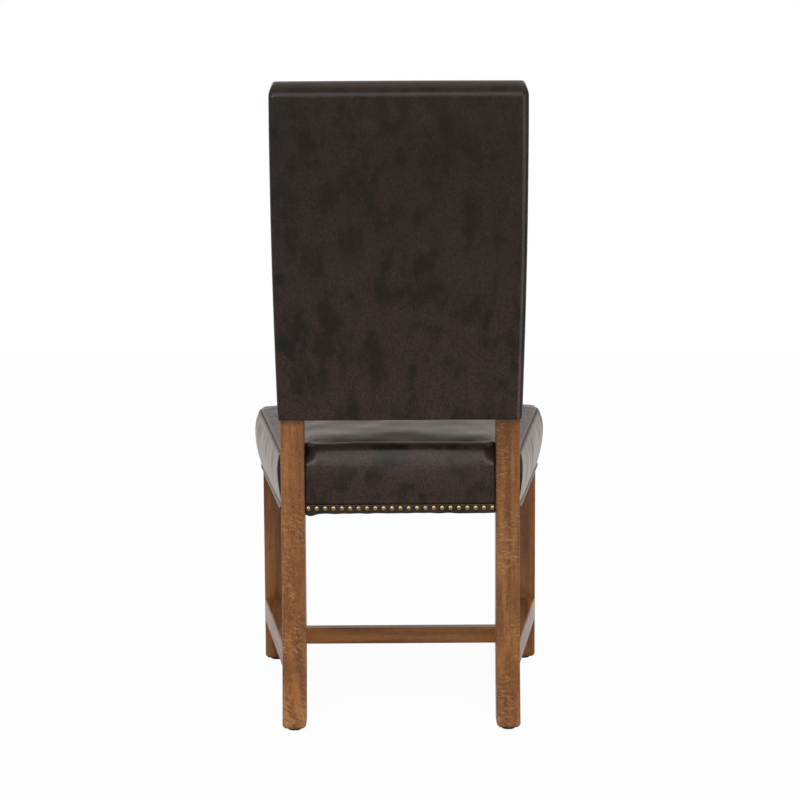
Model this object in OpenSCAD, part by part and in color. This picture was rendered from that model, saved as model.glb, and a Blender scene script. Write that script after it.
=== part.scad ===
// High-back dining chair: an oak frame with curved rear posts and H-stretchers, and a padded
// leather seat and back. Millimetres, +Z up. The front faces -Y, and the origin lies on the
// floor under the middle of the chair.

/* [Posts and legs] */
// Width of a rear post, seen from behind
post_w = 40; // [34:1:46]
// Depth of a rear post, front to rear
post_d = 42; // [36:1:46]
// Distance over the outer faces of the rear posts
rear_span = 401; // [380:1:430]
// Side of a square front leg
leg_w = 42; // [36:1:48]
// Distance over the outer faces of the front legs
front_span = 516; // [490:1:540]
// Clear depth between a rear post and the front leg
side_gap = 388; // [360:1:420]
// How far the rear foot kicks back behind the straight part of the post
kick = 40; // [20:1:55]
// Height at which the kick begins
kick_z = 362; // [350:1:364]
// Height at which the post starts to recline
bend_z = 446; // [440:1:456]
// Radius of the bend into the recline
bend_r = 500; // [400:10:640]
// Recline of the back, in degrees
recline = 12; // [8:0.5:14]
// Radius of the eased edges of the show wood
ease = 3; // [1.5:0.5:5]
// Step by which the upholstered top of a post is slimmer
rebate = 0.5; // [0.3:0.1:1]
// Chamfer round the foot of a post or leg
foot_chamfer = 5; // [3:0.5:7]
// Slope of that chamfer off the upright, in degrees
foot_slope = 40; // [30:5:50]

/* [Glides] */
// Diameter of a floor glide
glide_dia = 25; // [20:1:30]
// Thickness of a floor glide
glide_h = 5; // [4:0.5:7]
// Diameter of a glide's nail
glide_nail_dia = 3; // [2.5:0.5:4]
// Length of a glide's nail
glide_nail = 14; // [10:1:18]
// Rounding of a glide's rim
glide_round = 1.5; // [1:0.5:2.5]

/* [Stretchers] */
// Underside of the side stretchers
stretcher_z = 80; // [60:1:140]
// Height of a side stretcher
stretcher_h = 40; // [34:1:48]
// Thickness of a side stretcher
stretcher_t = 32; // [26:1:36]
// Height of the cross stretcher
cross_h = 29; // [22:1:34]
// Thickness of the cross stretcher
cross_t = 26; // [20:1:30]
// Cross stretcher's rear face, measured forwards from the rear posts' front faces
cross_setback = 178; // [140:1:230]

/* [Seat frame] */
// Underside of the seat rails at the rear posts
seat_z = 366; // [362:1:372]
// How much higher the front rail sits than the rear rail
seat_rise = 10; // [4:1:14]
// Height of a seat rail
rail_h = 68; // [62:1:72]
// Thickness of a seat rail
rail_t = 24; // [20:1:28]
// Rear face of the rear rail, in front of the posts' rear faces
rail_setback = 10; // [6:1:14]
// Length of a corner block along each rail
block_leg = 62; // [50:1:80]
// Height of a corner block
block_h = 40; // [30:1:50]
// Width of a corner block's blunt ends
block_end = 12; // [8:1:16]
// Height of the corner blocks above the rails' underside
block_rise = 12; // [8:1:18]
// Diameter of a corner block screw
screw_dia = 4.5; // [4:0.5:6]
// Length of a corner block screw
screw_len = 50; // [44:1:56]
// Height of a screw's head
screw_head = 3; // [2:0.5:4]
// Distance of the screws from a block's upper and lower edges
screw_edge = 10; // [8:1:14]
// Front screws, measured inwards and to the rear from the leg's inner corner
front_screw = 24; // [20:1:28]
// Rear screws, measured inwards from the post's inner face
rear_screw_in = 18; // [14:1:22]
// Rear screws, measured forwards from the post's front face
rear_screw_ahead = 34; // [30:1:38]

/* [Joinery] */
// Thickness of a tenon
tenon_t = 10; // [8:1:12]
// Length of a tenon
tenon_len = 18; // [14:1:22]
// Shoulder above and below a tenon
shoulder = 7; // [5:1:8]
// Shoulder above and below a side rail's tenons
side_shoulder = 13; // [11:1:15]
// Clearance round a tenon or a shank in its hole
fit = 0.15; // [0.1:0.05:0.3]

/* [Seat upholstery] */
// Thickness of the leather
hide = 2; // [1.5:0.1:2.4]
// Swell of the seat's sides beyond the frame at the front
pad = 16; // [12:0.5:20]
// Swell of the seat's sides beyond the frame at the rear posts
pad_rear = 7; // [6.6:0.2:9]
// Swell of the rear face between the posts
pad_back = 3.4; // [3.2:0.1:5]
// Height of the boxed side at the front, from the rail's underside to the seam
boxing_h = 112; // [106:1:124]
// Height of the boxed side at the rear posts
boxing_h_rear = 99; // [94:1:106]
// Height of the widest line of the boxed side at the front
swell_h = 77; // [73:1:84]
// Width of the rounded top edge of the seat
roll = 21; // [16:1:28]
// Width of the rolled rear edge between the posts
roll_back = 30; // [24:1:34]
// Further swell of the seat's front
pad_ahead = 2; // [0:0.5:6]
// Crown of the seat above its edges
crown = 17; // [8:1:26]
// Radius of the seat's front corners
seat_corner = 26; // [18:1:36]
// Share of that radius down at the band
corner_share = 0.35; // [0.2:0.05:0.6]
// Rise up the rear face for each millimetre of its swell
rear_taper = 20; // [15:1:30]
// Height of the leather's slits round the posts, above the rails
slit_rise = 2; // [1:0.5:4]
// How far the foam is drawn in at its lower edge
foam_in = 4; // [3:0.5:6]
// Width of a webbing strap
strap_w = 50; // [40:1:56]
// Thickness of a webbing strap
strap_t = 1.6; // [1.2:0.1:2]
// Spacing of the seat's straps
strap_pitch = 72; // [64:1:76]
// How far the straps' ends stay inside the frame's faces
strap_edge = 4; // [3:0.5:8]
// How much shorter the outermost straps are, to clear the posts
strap_short = 70; // [60:1:90]
// Slack of a strap past the one that it crosses
strap_slack = 2; // [1.5:0.5:4]
// Thickness of the dust cover under the seat
dust_t = 0.8; // [0.6:0.1:1.2]
// How far the dust cover stays inside the frame's faces
dust_edge = 5; // [3:0.5:8]
// Gap that soft pieces keep from their neighbours
gap = 0.3; // [0.2:0.05:0.4]

/* [Nailed band] */
// Height of the leather band along the rails
band_h = 16; // [14:1:18]
// Thickness of the folded band
band_t = 2.6; // [2.2:0.1:3]
// How far the band hangs under the rails
band_drop = 1; // [0.5:0.25:2]
// Gap behind the glued band
band_gap = 0.05; // [0.03:0.01:0.1]
// Diameter of a nail's domed head
nail_dia = 9.5; // [8:0.5:11]
// Height of a nail's dome
nail_dome = 3; // [2:0.25:3.5]
// Diameter of a nail's shank
nail_shank = 1.8; // [1.4:0.1:2.2]
// Length of a nail's shank
nail_len = 12; // [9:1:14]
// Spacing of the nails
nail_pitch = 14; // [13:0.1:18]
// Gap between the last nail and the post
nail_edge = 1; // [0.5:0.5:4]

/* [Back] */
// Underside of the upholstered back, measured along the post from its bend
back_from = 84; // [76:1:120]
// Length of the upholstered back along the post
back_len = 554; // [520:1:600]
// Width of the back beyond the posts' outer faces, at its foot
back_side = 3.4; // [3.2:0.1:5]
// Extra width where the back's sides swell
back_swell = 2.4; // [0:0.2:4]
// Extra width on each side at the top of the back
back_flare = 1.8; // [0:0.2:4]
// Padding behind the posts
back_rear = 5.5; // [4.6:0.1:7]
// Padding in front of the posts at the edges of the back
back_front = 30; // [24:1:40]
// Crown of the back's front face
back_crown = 12; // [6:1:20]
// Radius of the back's vertical edges
back_edge = 7; // [5:0.5:9]
// Radius of the back's top edge
back_top = 13; // [9:1:18]
// Height of the crest rail
crest_h = 60; // [50:1:70]
// Height of the lower back rail
lower_h = 50; // [40:1:60]
// Thickness of the back rails
back_rail_t = 24; // [20:1:28]
// Gap between the crest rail and the back's rounded top
crest_drop = 6; // [4:1:12]
// Underside of the lower back rail, above the end of the posts' bend
lower_rise = 16; // [10:1:24]
// Spacing of the back's straps
back_strap_pitch = 96; // [88:1:100]
// How far the wadding behind the posts stays inside the upholstery
wadding_in = 5; // [4:0.5:8]
// Rounding of the back foam's edges beyond the leather's own
foam_round = 4; // [2:0.5:6]

/* [Hidden] */
LEFT = -1;
RIGHT = 1;
oak = "peru";
leather = [0.23, 0.19, 0.18];
inner = "wheat";

// How far a cutting solid reaches past what it cuts
past = 40;
// Overlap of two solids that are joined as one
splice = 2;
// Least distance between neighbouring stations of an outline
apart = 0.4;

// Heights and depths that the sizes above fix. The middle of the depth is the origin.
kick_r = (kick_z * kick_z + kick * kick) / (2 * kick);
bend_end = bend_r * PI * recline / 180;
back_to = back_from + back_len;
front_reach = leg_w + side_gap + pad + pad_ahead;
rear_reach = post_d / 2 + spine_shift(back_to - back_top) + (post_d / 2 + back_rear) * cos(recline);
post_front = (front_reach - rear_reach) / 2;
post_mid = post_front + post_d / 2;
post_rear = post_front + post_d;
post_out = rear_span / 2;
post_in = post_out - post_w;
leg_rear = post_front - side_gap;
leg_front = leg_rear - leg_w;
leg_out = front_span / 2;
leg_in = leg_out - leg_w;
rail_rear = post_rear - rail_setback;
side_lean = (leg_out - post_out) / side_gap;
side_angle = atan(side_lean);

// How far the post's middle line has moved back at a length s above its bend
function spine_shift(s) = s < bend_end
  ? bend_r * (1 - cos(s / bend_r * 180 / PI))
  : bend_r * (1 - cos(recline)) + (s - bend_end) * sin(recline);
// Height gained at a length s above the bend
function spine_rise(s) = s < bend_end
  ? bend_r * sin(s / bend_r * 180 / PI)
  : bend_r * sin(recline) + (s - bend_end) * cos(recline);
// Lean of the post at a length s above the bend
function spine_lean(s) = min(s / bend_r * 180 / PI, recline);
// A point across the post at length s: x sideways, n behind the post's middle line
function on_spine(s, x, n) = [
  x,
  post_mid + spine_shift(s) + n * cos(spine_lean(s)),
  bend_z + spine_rise(s) - n * sin(spine_lean(s))
];
// Height of the seat frame's underside at a depth y
function lift(y) = seat_z + seat_rise * (post_front - y) / side_gap;
// Half-width of the frame's outer side at a depth y
function frame_side(y) = y < leg_rear ? leg_out : post_out + (post_front - y) * side_lean;

// Points of a rectangle w by d, centred, with its corners rounded to radius r
function eased(w, d, r, steps = 3) = [
  for (c = [[1, 1, 0], [-1, 1, 90], [-1, -1, 180], [1, -1, 270]]) for (i = [0:steps])
    [c[0] * (w / 2 - r) + r * cos(c[2] + 90 * i / steps),
     c[1] * (d / 2 - r) + r * sin(c[2] + 90 * i / steps)]
];

// A closed solid through a list of rings, which all have as many points
module loft(rings) {
  n = len(rings[0]);
  m = len(rings);
  ends = [for (ring = [rings[0], rings[m - 1]]) [for (a = [0:2]) sum(ring, a) / n]];
  points = concat([for (ring = rings) for (p = ring) p], ends);
  walls = [
    for (j = [0:m - 2]) for (i = [0:n - 1]) let (k = (i + 1) % n)
      each [[j * n + i, j * n + n + i, j * n + n + k], [j * n + i, j * n + n + k, j * n + k]]
  ];
  floor_fan = [for (i = [0:n - 1]) [m * n, i, (i + 1) % n]];
  roof_fan = [for (i = [0:n - 1]) [m * n + 1, (m - 1) * n + (i + 1) % n, (m - 1) * n + i]];
  polyhedron(points, concat(walls, floor_fan, roof_fan), 4);
}
function sum(ring, axis, i = 0) = i == len(ring) ? 0 : ring[i][axis] + sum(ring, axis, i + 1);

// Wedges that chamfer the foot of a bar w by d centred on x, y
module foot_wedges(x, y, w, d) {
  for (turn = [0:3]) {
    half = turn % 2 == 0 ? w / 2 : d / 2;
    translate([x, y, glide_h]) rotate(90 * turn) translate([half, 0, 0])
      rotate([0, foot_slope, 0]) translate([-foot_chamfer * cos(foot_slope), -past, -past / 2])
        cube([past / 2, 2 * past, past / 2 + foot_chamfer]);
  }
}

// Solid post without its mortises, as bandsawn and eased: kicked foot, straight, bend, recline
module post_blank(side) {
  section = eased(post_d, post_w, ease);
  x = side * (post_out - post_w / 2);
  difference() {
    union() {
      translate([x, post_mid + kick_r, kick_z]) rotate([-90, 0, -90])
        rotate_extrude(angle = asin(kick_z / kick_r), $fn = 96)
          translate([kick_r, 0]) polygon(section);
      translate([x, post_mid, kick_z]) linear_extrude(bend_z - kick_z)
        rotate(90) polygon(section);
      translate([x, post_mid + bend_r, bend_z]) rotate([90, 0, -90])
        rotate_extrude(angle = recline, $fn = 96) translate([bend_r, 0]) polygon(section);
      translate(on_spine(bend_end, x, 0)) rotate([-recline, 0, 0]) translate([0, 0, -splice])
        linear_extrude(back_to - bend_end - back_top + splice)
          polygon(eased(post_w - 2 * rebate, post_d - 2 * rebate, ease));
    }
    translate([x - post_w, post_mid - past, -past])
      cube([2 * post_w, kick + post_d + 2 * past, past + glide_h]);
    foot_wedges(x, post_mid + kick, post_w, post_d);
  }
}

module leg_blank(side) {
  x = side * (leg_out - leg_w / 2);
  y = leg_rear - leg_w / 2;
  top = lift(y) + rail_h;
  difference() {
    translate([x, y, glide_h]) linear_extrude(top - glide_h) polygon(eased(leg_w, leg_w, ease));
    foot_wedges(x, y, leg_w, leg_w);
  }
}

// A bar that follows the frame's side: its outer face is flush with the post and the leg
module side_bar(side, z, h, t, edge) {
  run = side_gap / cos(side_angle) + 2 * t;
  translate([side * post_out, post_front, z]) rotate(side * side_angle)
    translate([-side * t / 2, t, h / 2]) rotate([90, 0, 0])
      linear_extrude(run) polygon(eased(t, h, edge));
}

// Tongue of a joint that runs along Y at a lean, from y0 to y1
module side_tenon(side, y, z, h, t, grow) {
  x = side * (frame_side(y) - t / 2 / cos(side_angle));
  translate([x, y, z]) rotate(side * side_angle)
    translate([-tenon_t / 2 - grow, -tenon_len - grow, -h / 2 - grow])
      cube([tenon_t + 2 * grow, 2 * (tenon_len + grow), h + 2 * grow]);
}

// Tongue of a joint that runs along X, centred on x, y, z
module cross_tenon(x, y, z, h, grow) {
  translate([x - tenon_len - grow, y - tenon_t / 2 - grow, z - h / 2 - grow])
    cube([2 * (tenon_len + grow), tenon_t + 2 * grow, h + 2 * grow]);
}

// All tongues of the side stretcher, and of the side rail, grown for a mortise
module stretcher_tenons(side, grow) {
  z = stretcher_z + stretcher_h / 2;
  side_tenon(side, post_foot(z), z, stretcher_h - 2 * shoulder, stretcher_t, grow);
  side_tenon(side, leg_rear, z, stretcher_h - 2 * shoulder, stretcher_t, grow);
}
module side_rail_tenons(side, grow) {
  h = rail_h - 2 * side_shoulder;
  side_tenon(side, post_front, lift(post_front) + rail_h / 2, h, rail_t, grow);
  side_tenon(side, leg_rear, lift(leg_rear) + rail_h / 2, h, rail_t, grow);
}
// Front face of the kicked post at a height z below the kick
function post_foot(z) = post_mid + kick_r
  - sqrt(pow(kick_r + post_d / 2, 2) - pow(kick_z - z, 2));

cross_y = post_front - cross_setback - cross_t / 2;
cross_z = stretcher_z + stretcher_h / 2;
cross_end = frame_side(cross_y) - stretcher_t / cos(side_angle);
module cross_tenons(grow) {
  for (side = [LEFT, RIGHT])
    cross_tenon(side * cross_end, cross_y, cross_z, cross_h - shoulder, grow);
}
rear_rail_y = rail_rear - rail_t / 2;
front_rail_y = leg_front + rail_t / 2;
front_rail_z = lift(front_rail_y);
rear_rail_z = lift(rear_rail_y);
module rear_rail_tenons(grow) {
  for (side = [LEFT, RIGHT])
    cross_tenon(side * post_in, rear_rail_y, rear_rail_z + rail_h / 2,
      rail_h - 2 * shoulder, grow);
}
module front_rail_tenons(grow) {
  for (side = [LEFT, RIGHT])
    cross_tenon(side * leg_in, front_rail_y, front_rail_z + rail_h / 2,
      rail_h - 2 * shoulder, grow);
}

// Places a back rail's own frame at length s up the spine
module at_spine(s) {
  translate(on_spine(s, 0, 0)) rotate([-spine_lean(s), 0, 0]) children();
}
crest_mid = back_to - back_top - crest_drop - crest_h / 2;
lower_mid = bend_end + lower_rise + lower_h / 2;
module back_rail_tenons(mid, h, grow) {
  at_spine(mid) for (side = [LEFT, RIGHT])
    cross_tenon(side * (post_in + rebate), 0, 0, h - 2 * shoulder, grow);
}

module rear_post(side) {
  color(oak) difference() {
    post_blank(side);
    stretcher_tenons(side, fit);
    side_rail_tenons(side, fit);
    rear_rail_tenons(fit);
    back_rail_tenons(crest_mid, crest_h, fit);
    back_rail_tenons(lower_mid, lower_h, fit);
    glide_nails(fit);
    screw_shanks(fit);
  }
}

module front_leg(side) {
  color(oak) difference() {
    leg_blank(side);
    stretcher_tenons(side, fit);
    side_rail_tenons(side, fit);
    front_rail_tenons(fit);
    glide_nails(fit);
    screw_shanks(fit);
  }
}

module side_stretcher(side) {
  color(oak) difference() {
    union() {
      difference() {
        side_bar(side, stretcher_z, stretcher_h, stretcher_t, ease);
        post_blank(side);
        translate([-front_span, leg_rear - side_gap, 0])
          cube([2 * front_span, side_gap, seat_z]);
        translate([-front_span, post_foot(stretcher_z) + post_d / 2, 0])
          cube([2 * front_span, side_gap, seat_z]);
      }
      intersection() {
        stretcher_tenons(side, 0);
        translate([-leg_out, leg_rear - tenon_len, 0])
          cube([2 * leg_out, side_gap + kick + 2 * tenon_len, seat_z]);
      }
    }
    cross_tenons(fit);
  }
}

module cross_stretcher() {
  color(oak) {
    difference() {
      translate([-cross_end - stretcher_t / 2, cross_y, cross_z]) rotate([90, 0, 90])
        linear_extrude(2 * cross_end + stretcher_t) polygon(eased(cross_t, cross_h, ease));
      for (side = [LEFT, RIGHT])
        side_bar(side, stretcher_z, stretcher_h, stretcher_t, ease);
    }
    cross_tenons(0);
  }
}

// All that lies between low and high above the rails' sloping underside, forwards of a depth
module rail_slope(low, high, rear = post_front) {
  front = leg_front - past;
  rotate([90, 0, 90]) translate([0, 0, -leg_out - past]) linear_extrude(2 * (leg_out + past))
    polygon([for (e = [[rear, low], [front, low], [front, high], [rear, high]])
      [e[0], lift(e[0]) + e[1]]]);
}

module side_seat_rail(side) {
  color(oak) difference() {
    union() {
      intersection() {
        translate([0, 0, seat_z - past]) linear_extrude(rail_h + 2 * past)
          polygon([for (e = [[post_front, 0], [leg_rear, 0], [leg_rear, 1], [post_front, 1]])
            [side * (frame_side(e[0]) - e[1] * rail_t / cos(side_angle)), e[0]]]);
        rail_slope(0, rail_h);
      }
      side_rail_tenons(side, 0);
    }
    screw_shanks(fit);
  }
}

module rear_seat_rail() {
  color(oak) difference() {
    union() {
      translate([-post_in, rail_rear - rail_t, rear_rail_z]) cube([2 * post_in, rail_t, rail_h]);
      rear_rail_tenons(0);
    }
    nail_shanks(fit);
  }
}

module front_seat_rail() {
  color(oak) {
    translate([-leg_in, leg_front, front_rail_z]) cube([2 * leg_in, rail_t, rail_h]);
    front_rail_tenons(0);
  }
}

// Corner blocks, notched round the post or leg and screwed to it
front_block_z = front_rail_z + block_rise;
rear_block_z = seat_z + block_rise;
module corner_block(side, front) {
  y = front ? leg_front + rail_t : rail_rear - rail_t;
  way = front ? 1 : -1;
  near = frame_side(y) - rail_t / cos(side_angle);
  far_y = y + way * block_leg;
  far = frame_side(far_y) - rail_t / cos(side_angle);
  color(inner) difference() {
    translate([0, 0, front ? front_block_z : rear_block_z]) linear_extrude(block_h)
      polygon([for (p = [[near - block_leg, y], [near, y], [far, far_y],
        [far - block_end, far_y], [near - block_leg, y + way * block_end]])
        [side * p[0], p[1]]]);
    if (front) leg_blank(side);
    if (!front) post_notch(side);
    screw_shanks(fit);
  }
}
// Room for the square part of the rear post
module post_notch(side) {
  translate([side * (post_out - post_w / 2), post_mid, seat_z + rail_h / 2])
    cube([post_w, post_d, 2 * rail_h], center = true);
}

// Two screws through each block on the diagonal: [x, y, z, direction]
function screw_seats() = [
  for (side = [LEFT, RIGHT]) for (z = [screw_edge, block_h - screw_edge]) each [
    [side * (leg_in - front_screw), leg_rear + front_screw, front_block_z + z, 270 + side * 45],
    [side * (post_in - rear_screw_in), post_front - rear_screw_ahead, rear_block_z + z,
     90 - side * 45]
  ]
];
module screw_shanks(grow) {
  for (s = screw_seats()) translate([s[0], s[1], s[2]]) rotate([0, 90, s[3]])
    translate([0, 0, -screw_dia])
      cylinder(d = screw_dia + 2 * grow, h = screw_len + grow, $fn = 24);
}
module corner_block_screws() {
  color("silver") for (s = screw_seats()) translate([s[0], s[1], s[2]]) rotate([0, 90, s[3]])
    translate([0, 0, -screw_dia]) {
      cylinder(d = screw_dia, h = screw_len, $fn = 24);
      translate([0, 0, -screw_head]) cylinder(d = 2 * screw_dia, h = screw_head, $fn = 24);
    }
}

// Outline of the upholstered seat, from the middle of the rear round the right side to the
// middle of the front. It steps in round the post. off and back grow it beyond the frame, ahead
// is the front's further growth, and t draws it in for the leather.
function seat_half(off, back, t, ahead, corner) =
  let (
    rear_off = pad_rear * off / pad,
    side_x = function(y) frame_side(y) + rear_off
      + (off - rear_off) * (post_front - y) / (side_gap + leg_w) - t,
    tx = post_in - gap - t,
    yr = rail_rear + back - t,
    yn = post_front - gap - t,
    xn = side_x(yn),
    yf = leg_front - off - ahead + t,
    r = corner - t,
    cx = leg_out + off - t - r,
    cy = yf + r
  )
  concat(
    [for (u = [0.5, 0.9]) [u * tx, yr]],
    [[tx, yr], [tx, yr - 1.5 * apart], [tx, (yr + yn) / 2], [tx, yn]],
    [for (e = [apart, 1.25 * apart]) [min(post_out + e, xn - 1.75 * apart + e), yn]],
    [for (u = [0:1/3:1]) let (y = yn + (leg_rear - yn) * u) [side_x(y), y]],
    [[side_x(cy) - apart, cy]],
    [for (a = [-18:-18:-72]) [cx + r * cos(a), cy + r * sin(a)]],
    [for (u = [1:-0.34:0.3]) [cx * u, yf]]
  );
FIRST_SLIT = 3;
LAST_SLIT = 6;
function mirrored(half) = concat(
  [[0, half[0][1]]], half, [[0, half[len(half) - 1][1]]],
  [for (i = [len(half) - 1:-1:0]) [-half[i][0], half[i][1]]]
);
function is_slit(i, n) = let (k = min(i, n - i) - 1) k >= FIRST_SLIT && k <= LAST_SLIT;

// Share of its height that the boxing keeps at a depth y
function boxing_share(y) = let (u = min(1, max(0, (post_front - y) / side_gap)))
  (boxing_h_rear + (boxing_h - boxing_h_rear) * u - hem_top) / (boxing_h - hem_top);
// Height at a depth y of what lies h up the boxing at the front
function boxing(h, y) = h < hem_top ? h : hem_top + (h - hem_top) * boxing_share(y);
// Place up the front boxing of what lies at a height h at the rear posts
function unboxing(h) = hem_top + (h - hem_top) / boxing_share(post_front);
// Swell of the boxed side at a height h above the rails' underside
function swell(h) = band_t + (pad - band_t) * sin(90 * min(1, h / swell_h));

// One level of the seat: [height, side swell, rear swell, share of the outline]
function side_level(h) = [h, swell(h), min(pad_back, band_t + h / rear_taper), 1];
function roll_level(a, t) = [
  swell_h + (boxing_h - swell_h - t) * sin(a),
  pad - roll * (1 - cos(a)),
  pad_back - roll_back * (1 - cos(a)),
  1
];
function crown_level(s, t) = [boxing_h - t + 0.01, pad - roll, pad_back - roll_back, s];
function seat_ring(level, t, low_slit) =
  let (
    corner = seat_corner * (corner_share + (1 - corner_share) * level[1] / pad),
    outline = mirrored(seat_half(level[1], level[2], t, pad_ahead, max(t + 1, corner))),
    n = len(outline),
    rear_y = outline[0][1],
    front_y = outline[n / 2][1],
    mid_y = (front_y + rear_y) / 2
  )
  [for (i = [0:n - 1]) let (
      x = outline[i][0] * level[3],
      y = mid_y + (outline[i][1] - mid_y) * level[3],
      h = is_slit(i, n) ? max(level[0], low_slit + level[0] / 100) : level[0],
      across = x / (frame_side(y) + level[1]),
      along = (y - mid_y) / (rear_y - mid_y),
      dome = level[3] == 1 ? 0 : max(0, 1 - across * across) * max(0, 1 - along * along)
    )
    [x, y, lift(y) + boxing(h, y) + crown * dome]];

// Heights over the rails' underside: top of the band, leather above it, top of the rails
hem = band_h - band_drop;
hem_top = hem + gap;
slit = unboxing(rail_h + slit_rise);
foam_low = unboxing(rail_h + 2 * strap_t + 3 * gap);
function seat_levels(t, from) = concat(
  [for (h = from) side_level(h)],
  [for (a = [22.5:22.5:90]) roll_level(a, t)],
  [for (s = [0.93, 0.8, 0.55, 0.2]) crown_level(s, t)]
);
function side_heights() = [for (u = [0.1, 0.36, 0.68, 1]) hem_top + (rail_h - hem_top) * u];
module seat_cover() {
  heights = [for (u = [0.02, 0.17, 0.43, 0.72, 1]) hem_top + (swell_h - hem_top) * u];
  outside = [for (l = seat_levels(0, heights)) seat_ring(l, 0, slit)];
  inside = [for (l = seat_levels(hide, concat(side_heights(), [swell_h])))
    seat_ring(l, hide, slit)];
  color(leather) loft(concat(
    [for (i = [len(inside) - 1:-1:0]) inside[i]],
    [seat_ring([hem_top, band_t + hide + 2 * gap, pad_back - 2 * gap, 1], hide, slit)],
    [seat_ring([hem_top, band_t + hide - gap, pad_back - gap, 1], 0, slit)],
    outside
  ));
}

module seat_foam() {
  t = hide + 2 * gap;
  color(inner) loft([for (l = concat(
      [[foam_low, swell(foam_low) - foam_in, pad_back - foam_in, 1]],
      [for (a = [22.5:22.5:90]) roll_level(a, t)],
      [for (s = [0.93, 0.8, 0.55, 0.2]) crown_level(s, t)]))
    seat_ring(l, t, 0)]);
}

// Wadding on the outside of the frame, under the boxed side, from post to post
module seat_wadding() {
  t = hide + gap;
  heights = side_heights();
  outer = [for (h = heights) seat_ring([h, swell(h), pad_back, 1], t, 0)];
  inside = [for (h = [heights[0], rail_h]) frame_ring(h, 2 * gap)];
  n = len(outer[0]);
  first = LAST_SLIT + 3;
  color("linen") loft([for (i = [first:n - first]) [
    inside[0][i], outer[0][i], outer[1][i], outer[2][i], outer[3][i], inside[1][i]
  ]]);
}
// The frame's own outer faces at the same stations as the seat's outline
function frame_ring(h, out) =
  [for (p = mirrored(seat_half(out, 0, 0, 0, ease)))
    let (y = min(p[1], post_front - hide - 2 * gap)) [p[0], y, lift(y) + boxing(h, y)]];

module seat_band() {
  outer = band_line(band_t);
  bare = band_line(band_gap);
  color(leather) difference() {
    union() {
      intersection() {
        translate([0, 0, seat_z - past]) linear_extrude(2 * past) polygon(concat(outer,
          [for (i = [len(bare) - 1:-1:0]) bare[i]]));
        rail_slope(-band_drop, hem);
      }
      translate([-post_in + gap, rail_rear + band_gap, lift(rail_rear + band_t) - band_drop])
        cube([2 * (post_in - gap), band_t - band_gap, band_h]);
    }
    nail_shanks(fit);
  }
}
// Line of the frame's outer faces, from post to post round the front
function band_line(out) = let (half = [
    [post_out + out / cos(side_angle), post_front - gap],
    [leg_out + out, leg_rear],
    [leg_out + out, leg_front - out]
  ]) concat(half, [for (i = [2:-1:0]) [-half[i][0], half[i][1]]]);

// Nails between the posts: their row, and each one turned from +Z to face the rear
nail_row = 2 * (post_in - nail_edge) - nail_dia;
nail_gaps = floor(nail_row / nail_pitch);
module each_nail() {
  for (i = [0:nail_gaps])
    translate([nail_row * (i / nail_gaps - 0.5), rail_rear + band_t, rear_rail_z + hem / 2])
      rotate([-90, 0, 0]) children();
}
module nail_shanks(grow) {
  each_nail() translate([0, 0, -nail_len - grow])
    cylinder(d = nail_shank + 2 * grow, h = nail_len + nail_dome + grow, $fn = 16);
}
module band_nails() {
  profile = concat(
    [for (a = [0:25:75]) [nail_dia / 2 * cos(a), nail_dome * sin(a)]],
    [[0, nail_dome * sin(75)], [0, -nail_len], [nail_shank / 2, -nail_len], [nail_shank / 2, 0]]
  );
  color("darkgoldenrod") each_nail() rotate_extrude($fn = 20) polygon(profile);
}

// A woven run of strap along X with `count` crossings, starting under or over
module strap(length, from, pitch, count, start, rest) {
  over = strap_t / 2 + gap / 2;
  flat = strap_w / 2 + strap_slack;
  line = concat(
    [[-length / 2, rest], [from - pitch / 2, rest]],
    [for (i = [0:count - 1]) each let (z = (start + i) % 2 == 0 ? over : -over)
      [[from + pitch * i - flat, z], [from + pitch * i + flat, z]]],
    [[from + pitch * (count - 0.5), rest], [length / 2, rest]]
  );
  rotate([90, 0, 0]) translate([0, 0, -strap_w / 2]) linear_extrude(strap_w)
    polygon(concat([for (p = line) [p[0], p[1] - strap_t / 2]],
      [for (i = [len(line) - 1:-1:0]) [line[i][0], line[i][1] + strap_t / 2]]));
}
strap_count = 5;
module seat_webbing() {
  depth = rail_rear - leg_front - 2 * strap_edge;
  mid_y = (rail_rear + leg_front) / 2;
  tilt = atan(seat_rise / side_gap);
  first = -strap_pitch * (strap_count - 1) / 2;
  color("tan") translate([0, mid_y, lift(mid_y) + rail_h + strap_t / 2 + gap])
    rotate([-tilt, 0, 0]) {
      for (i = [0:strap_count - 1]) let (outermost = i == 0 || i == strap_count - 1)
        translate([first + strap_pitch * i, 0, 0]) rotate(90)
          strap(outermost ? depth - strap_short : depth, first, strap_pitch, strap_count, i, 0);
      for (j = [0:strap_count - 1]) let (y = first + strap_pitch * j)
        translate([0, y, 0]) strap(2 * frame_side(mid_y + y) - 3 * strap_edge, first,
          strap_pitch, strap_count, j + 1, 0);
    }
}

module dust_cover() {
  half = [
    [post_in - dust_edge, rail_rear - dust_edge],
    [post_in - dust_edge, post_front - dust_edge],
    [post_out - dust_edge, post_front - dust_edge],
    [leg_out - dust_edge, leg_rear],
    [leg_out - dust_edge, leg_front + dust_edge]
  ];
  color("dimgray") difference() {
    intersection() {
      translate([0, 0, seat_z - past]) linear_extrude(2 * past) polygon(concat(half,
        [for (i = [len(half) - 1:-1:0]) [-half[i][0], half[i][1]]]));
      rail_slope(-2 * gap - dust_t, -2 * gap, post_rear);
    }
    for (side = [LEFT, RIGHT])
      translate([side * (leg_out - leg_w / 2), leg_rear - leg_w / 2, seat_z])
        cube([leg_w + 2 * gap, leg_w + 2 * gap, past], center = true);
  }
}

module back_rail(mid, h) {
  color(oak) {
    at_spine(mid) cube([2 * (post_in + rebate), back_rail_t, h], center = true);
    back_rail_tenons(mid, h, 0);
  }
}

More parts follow.
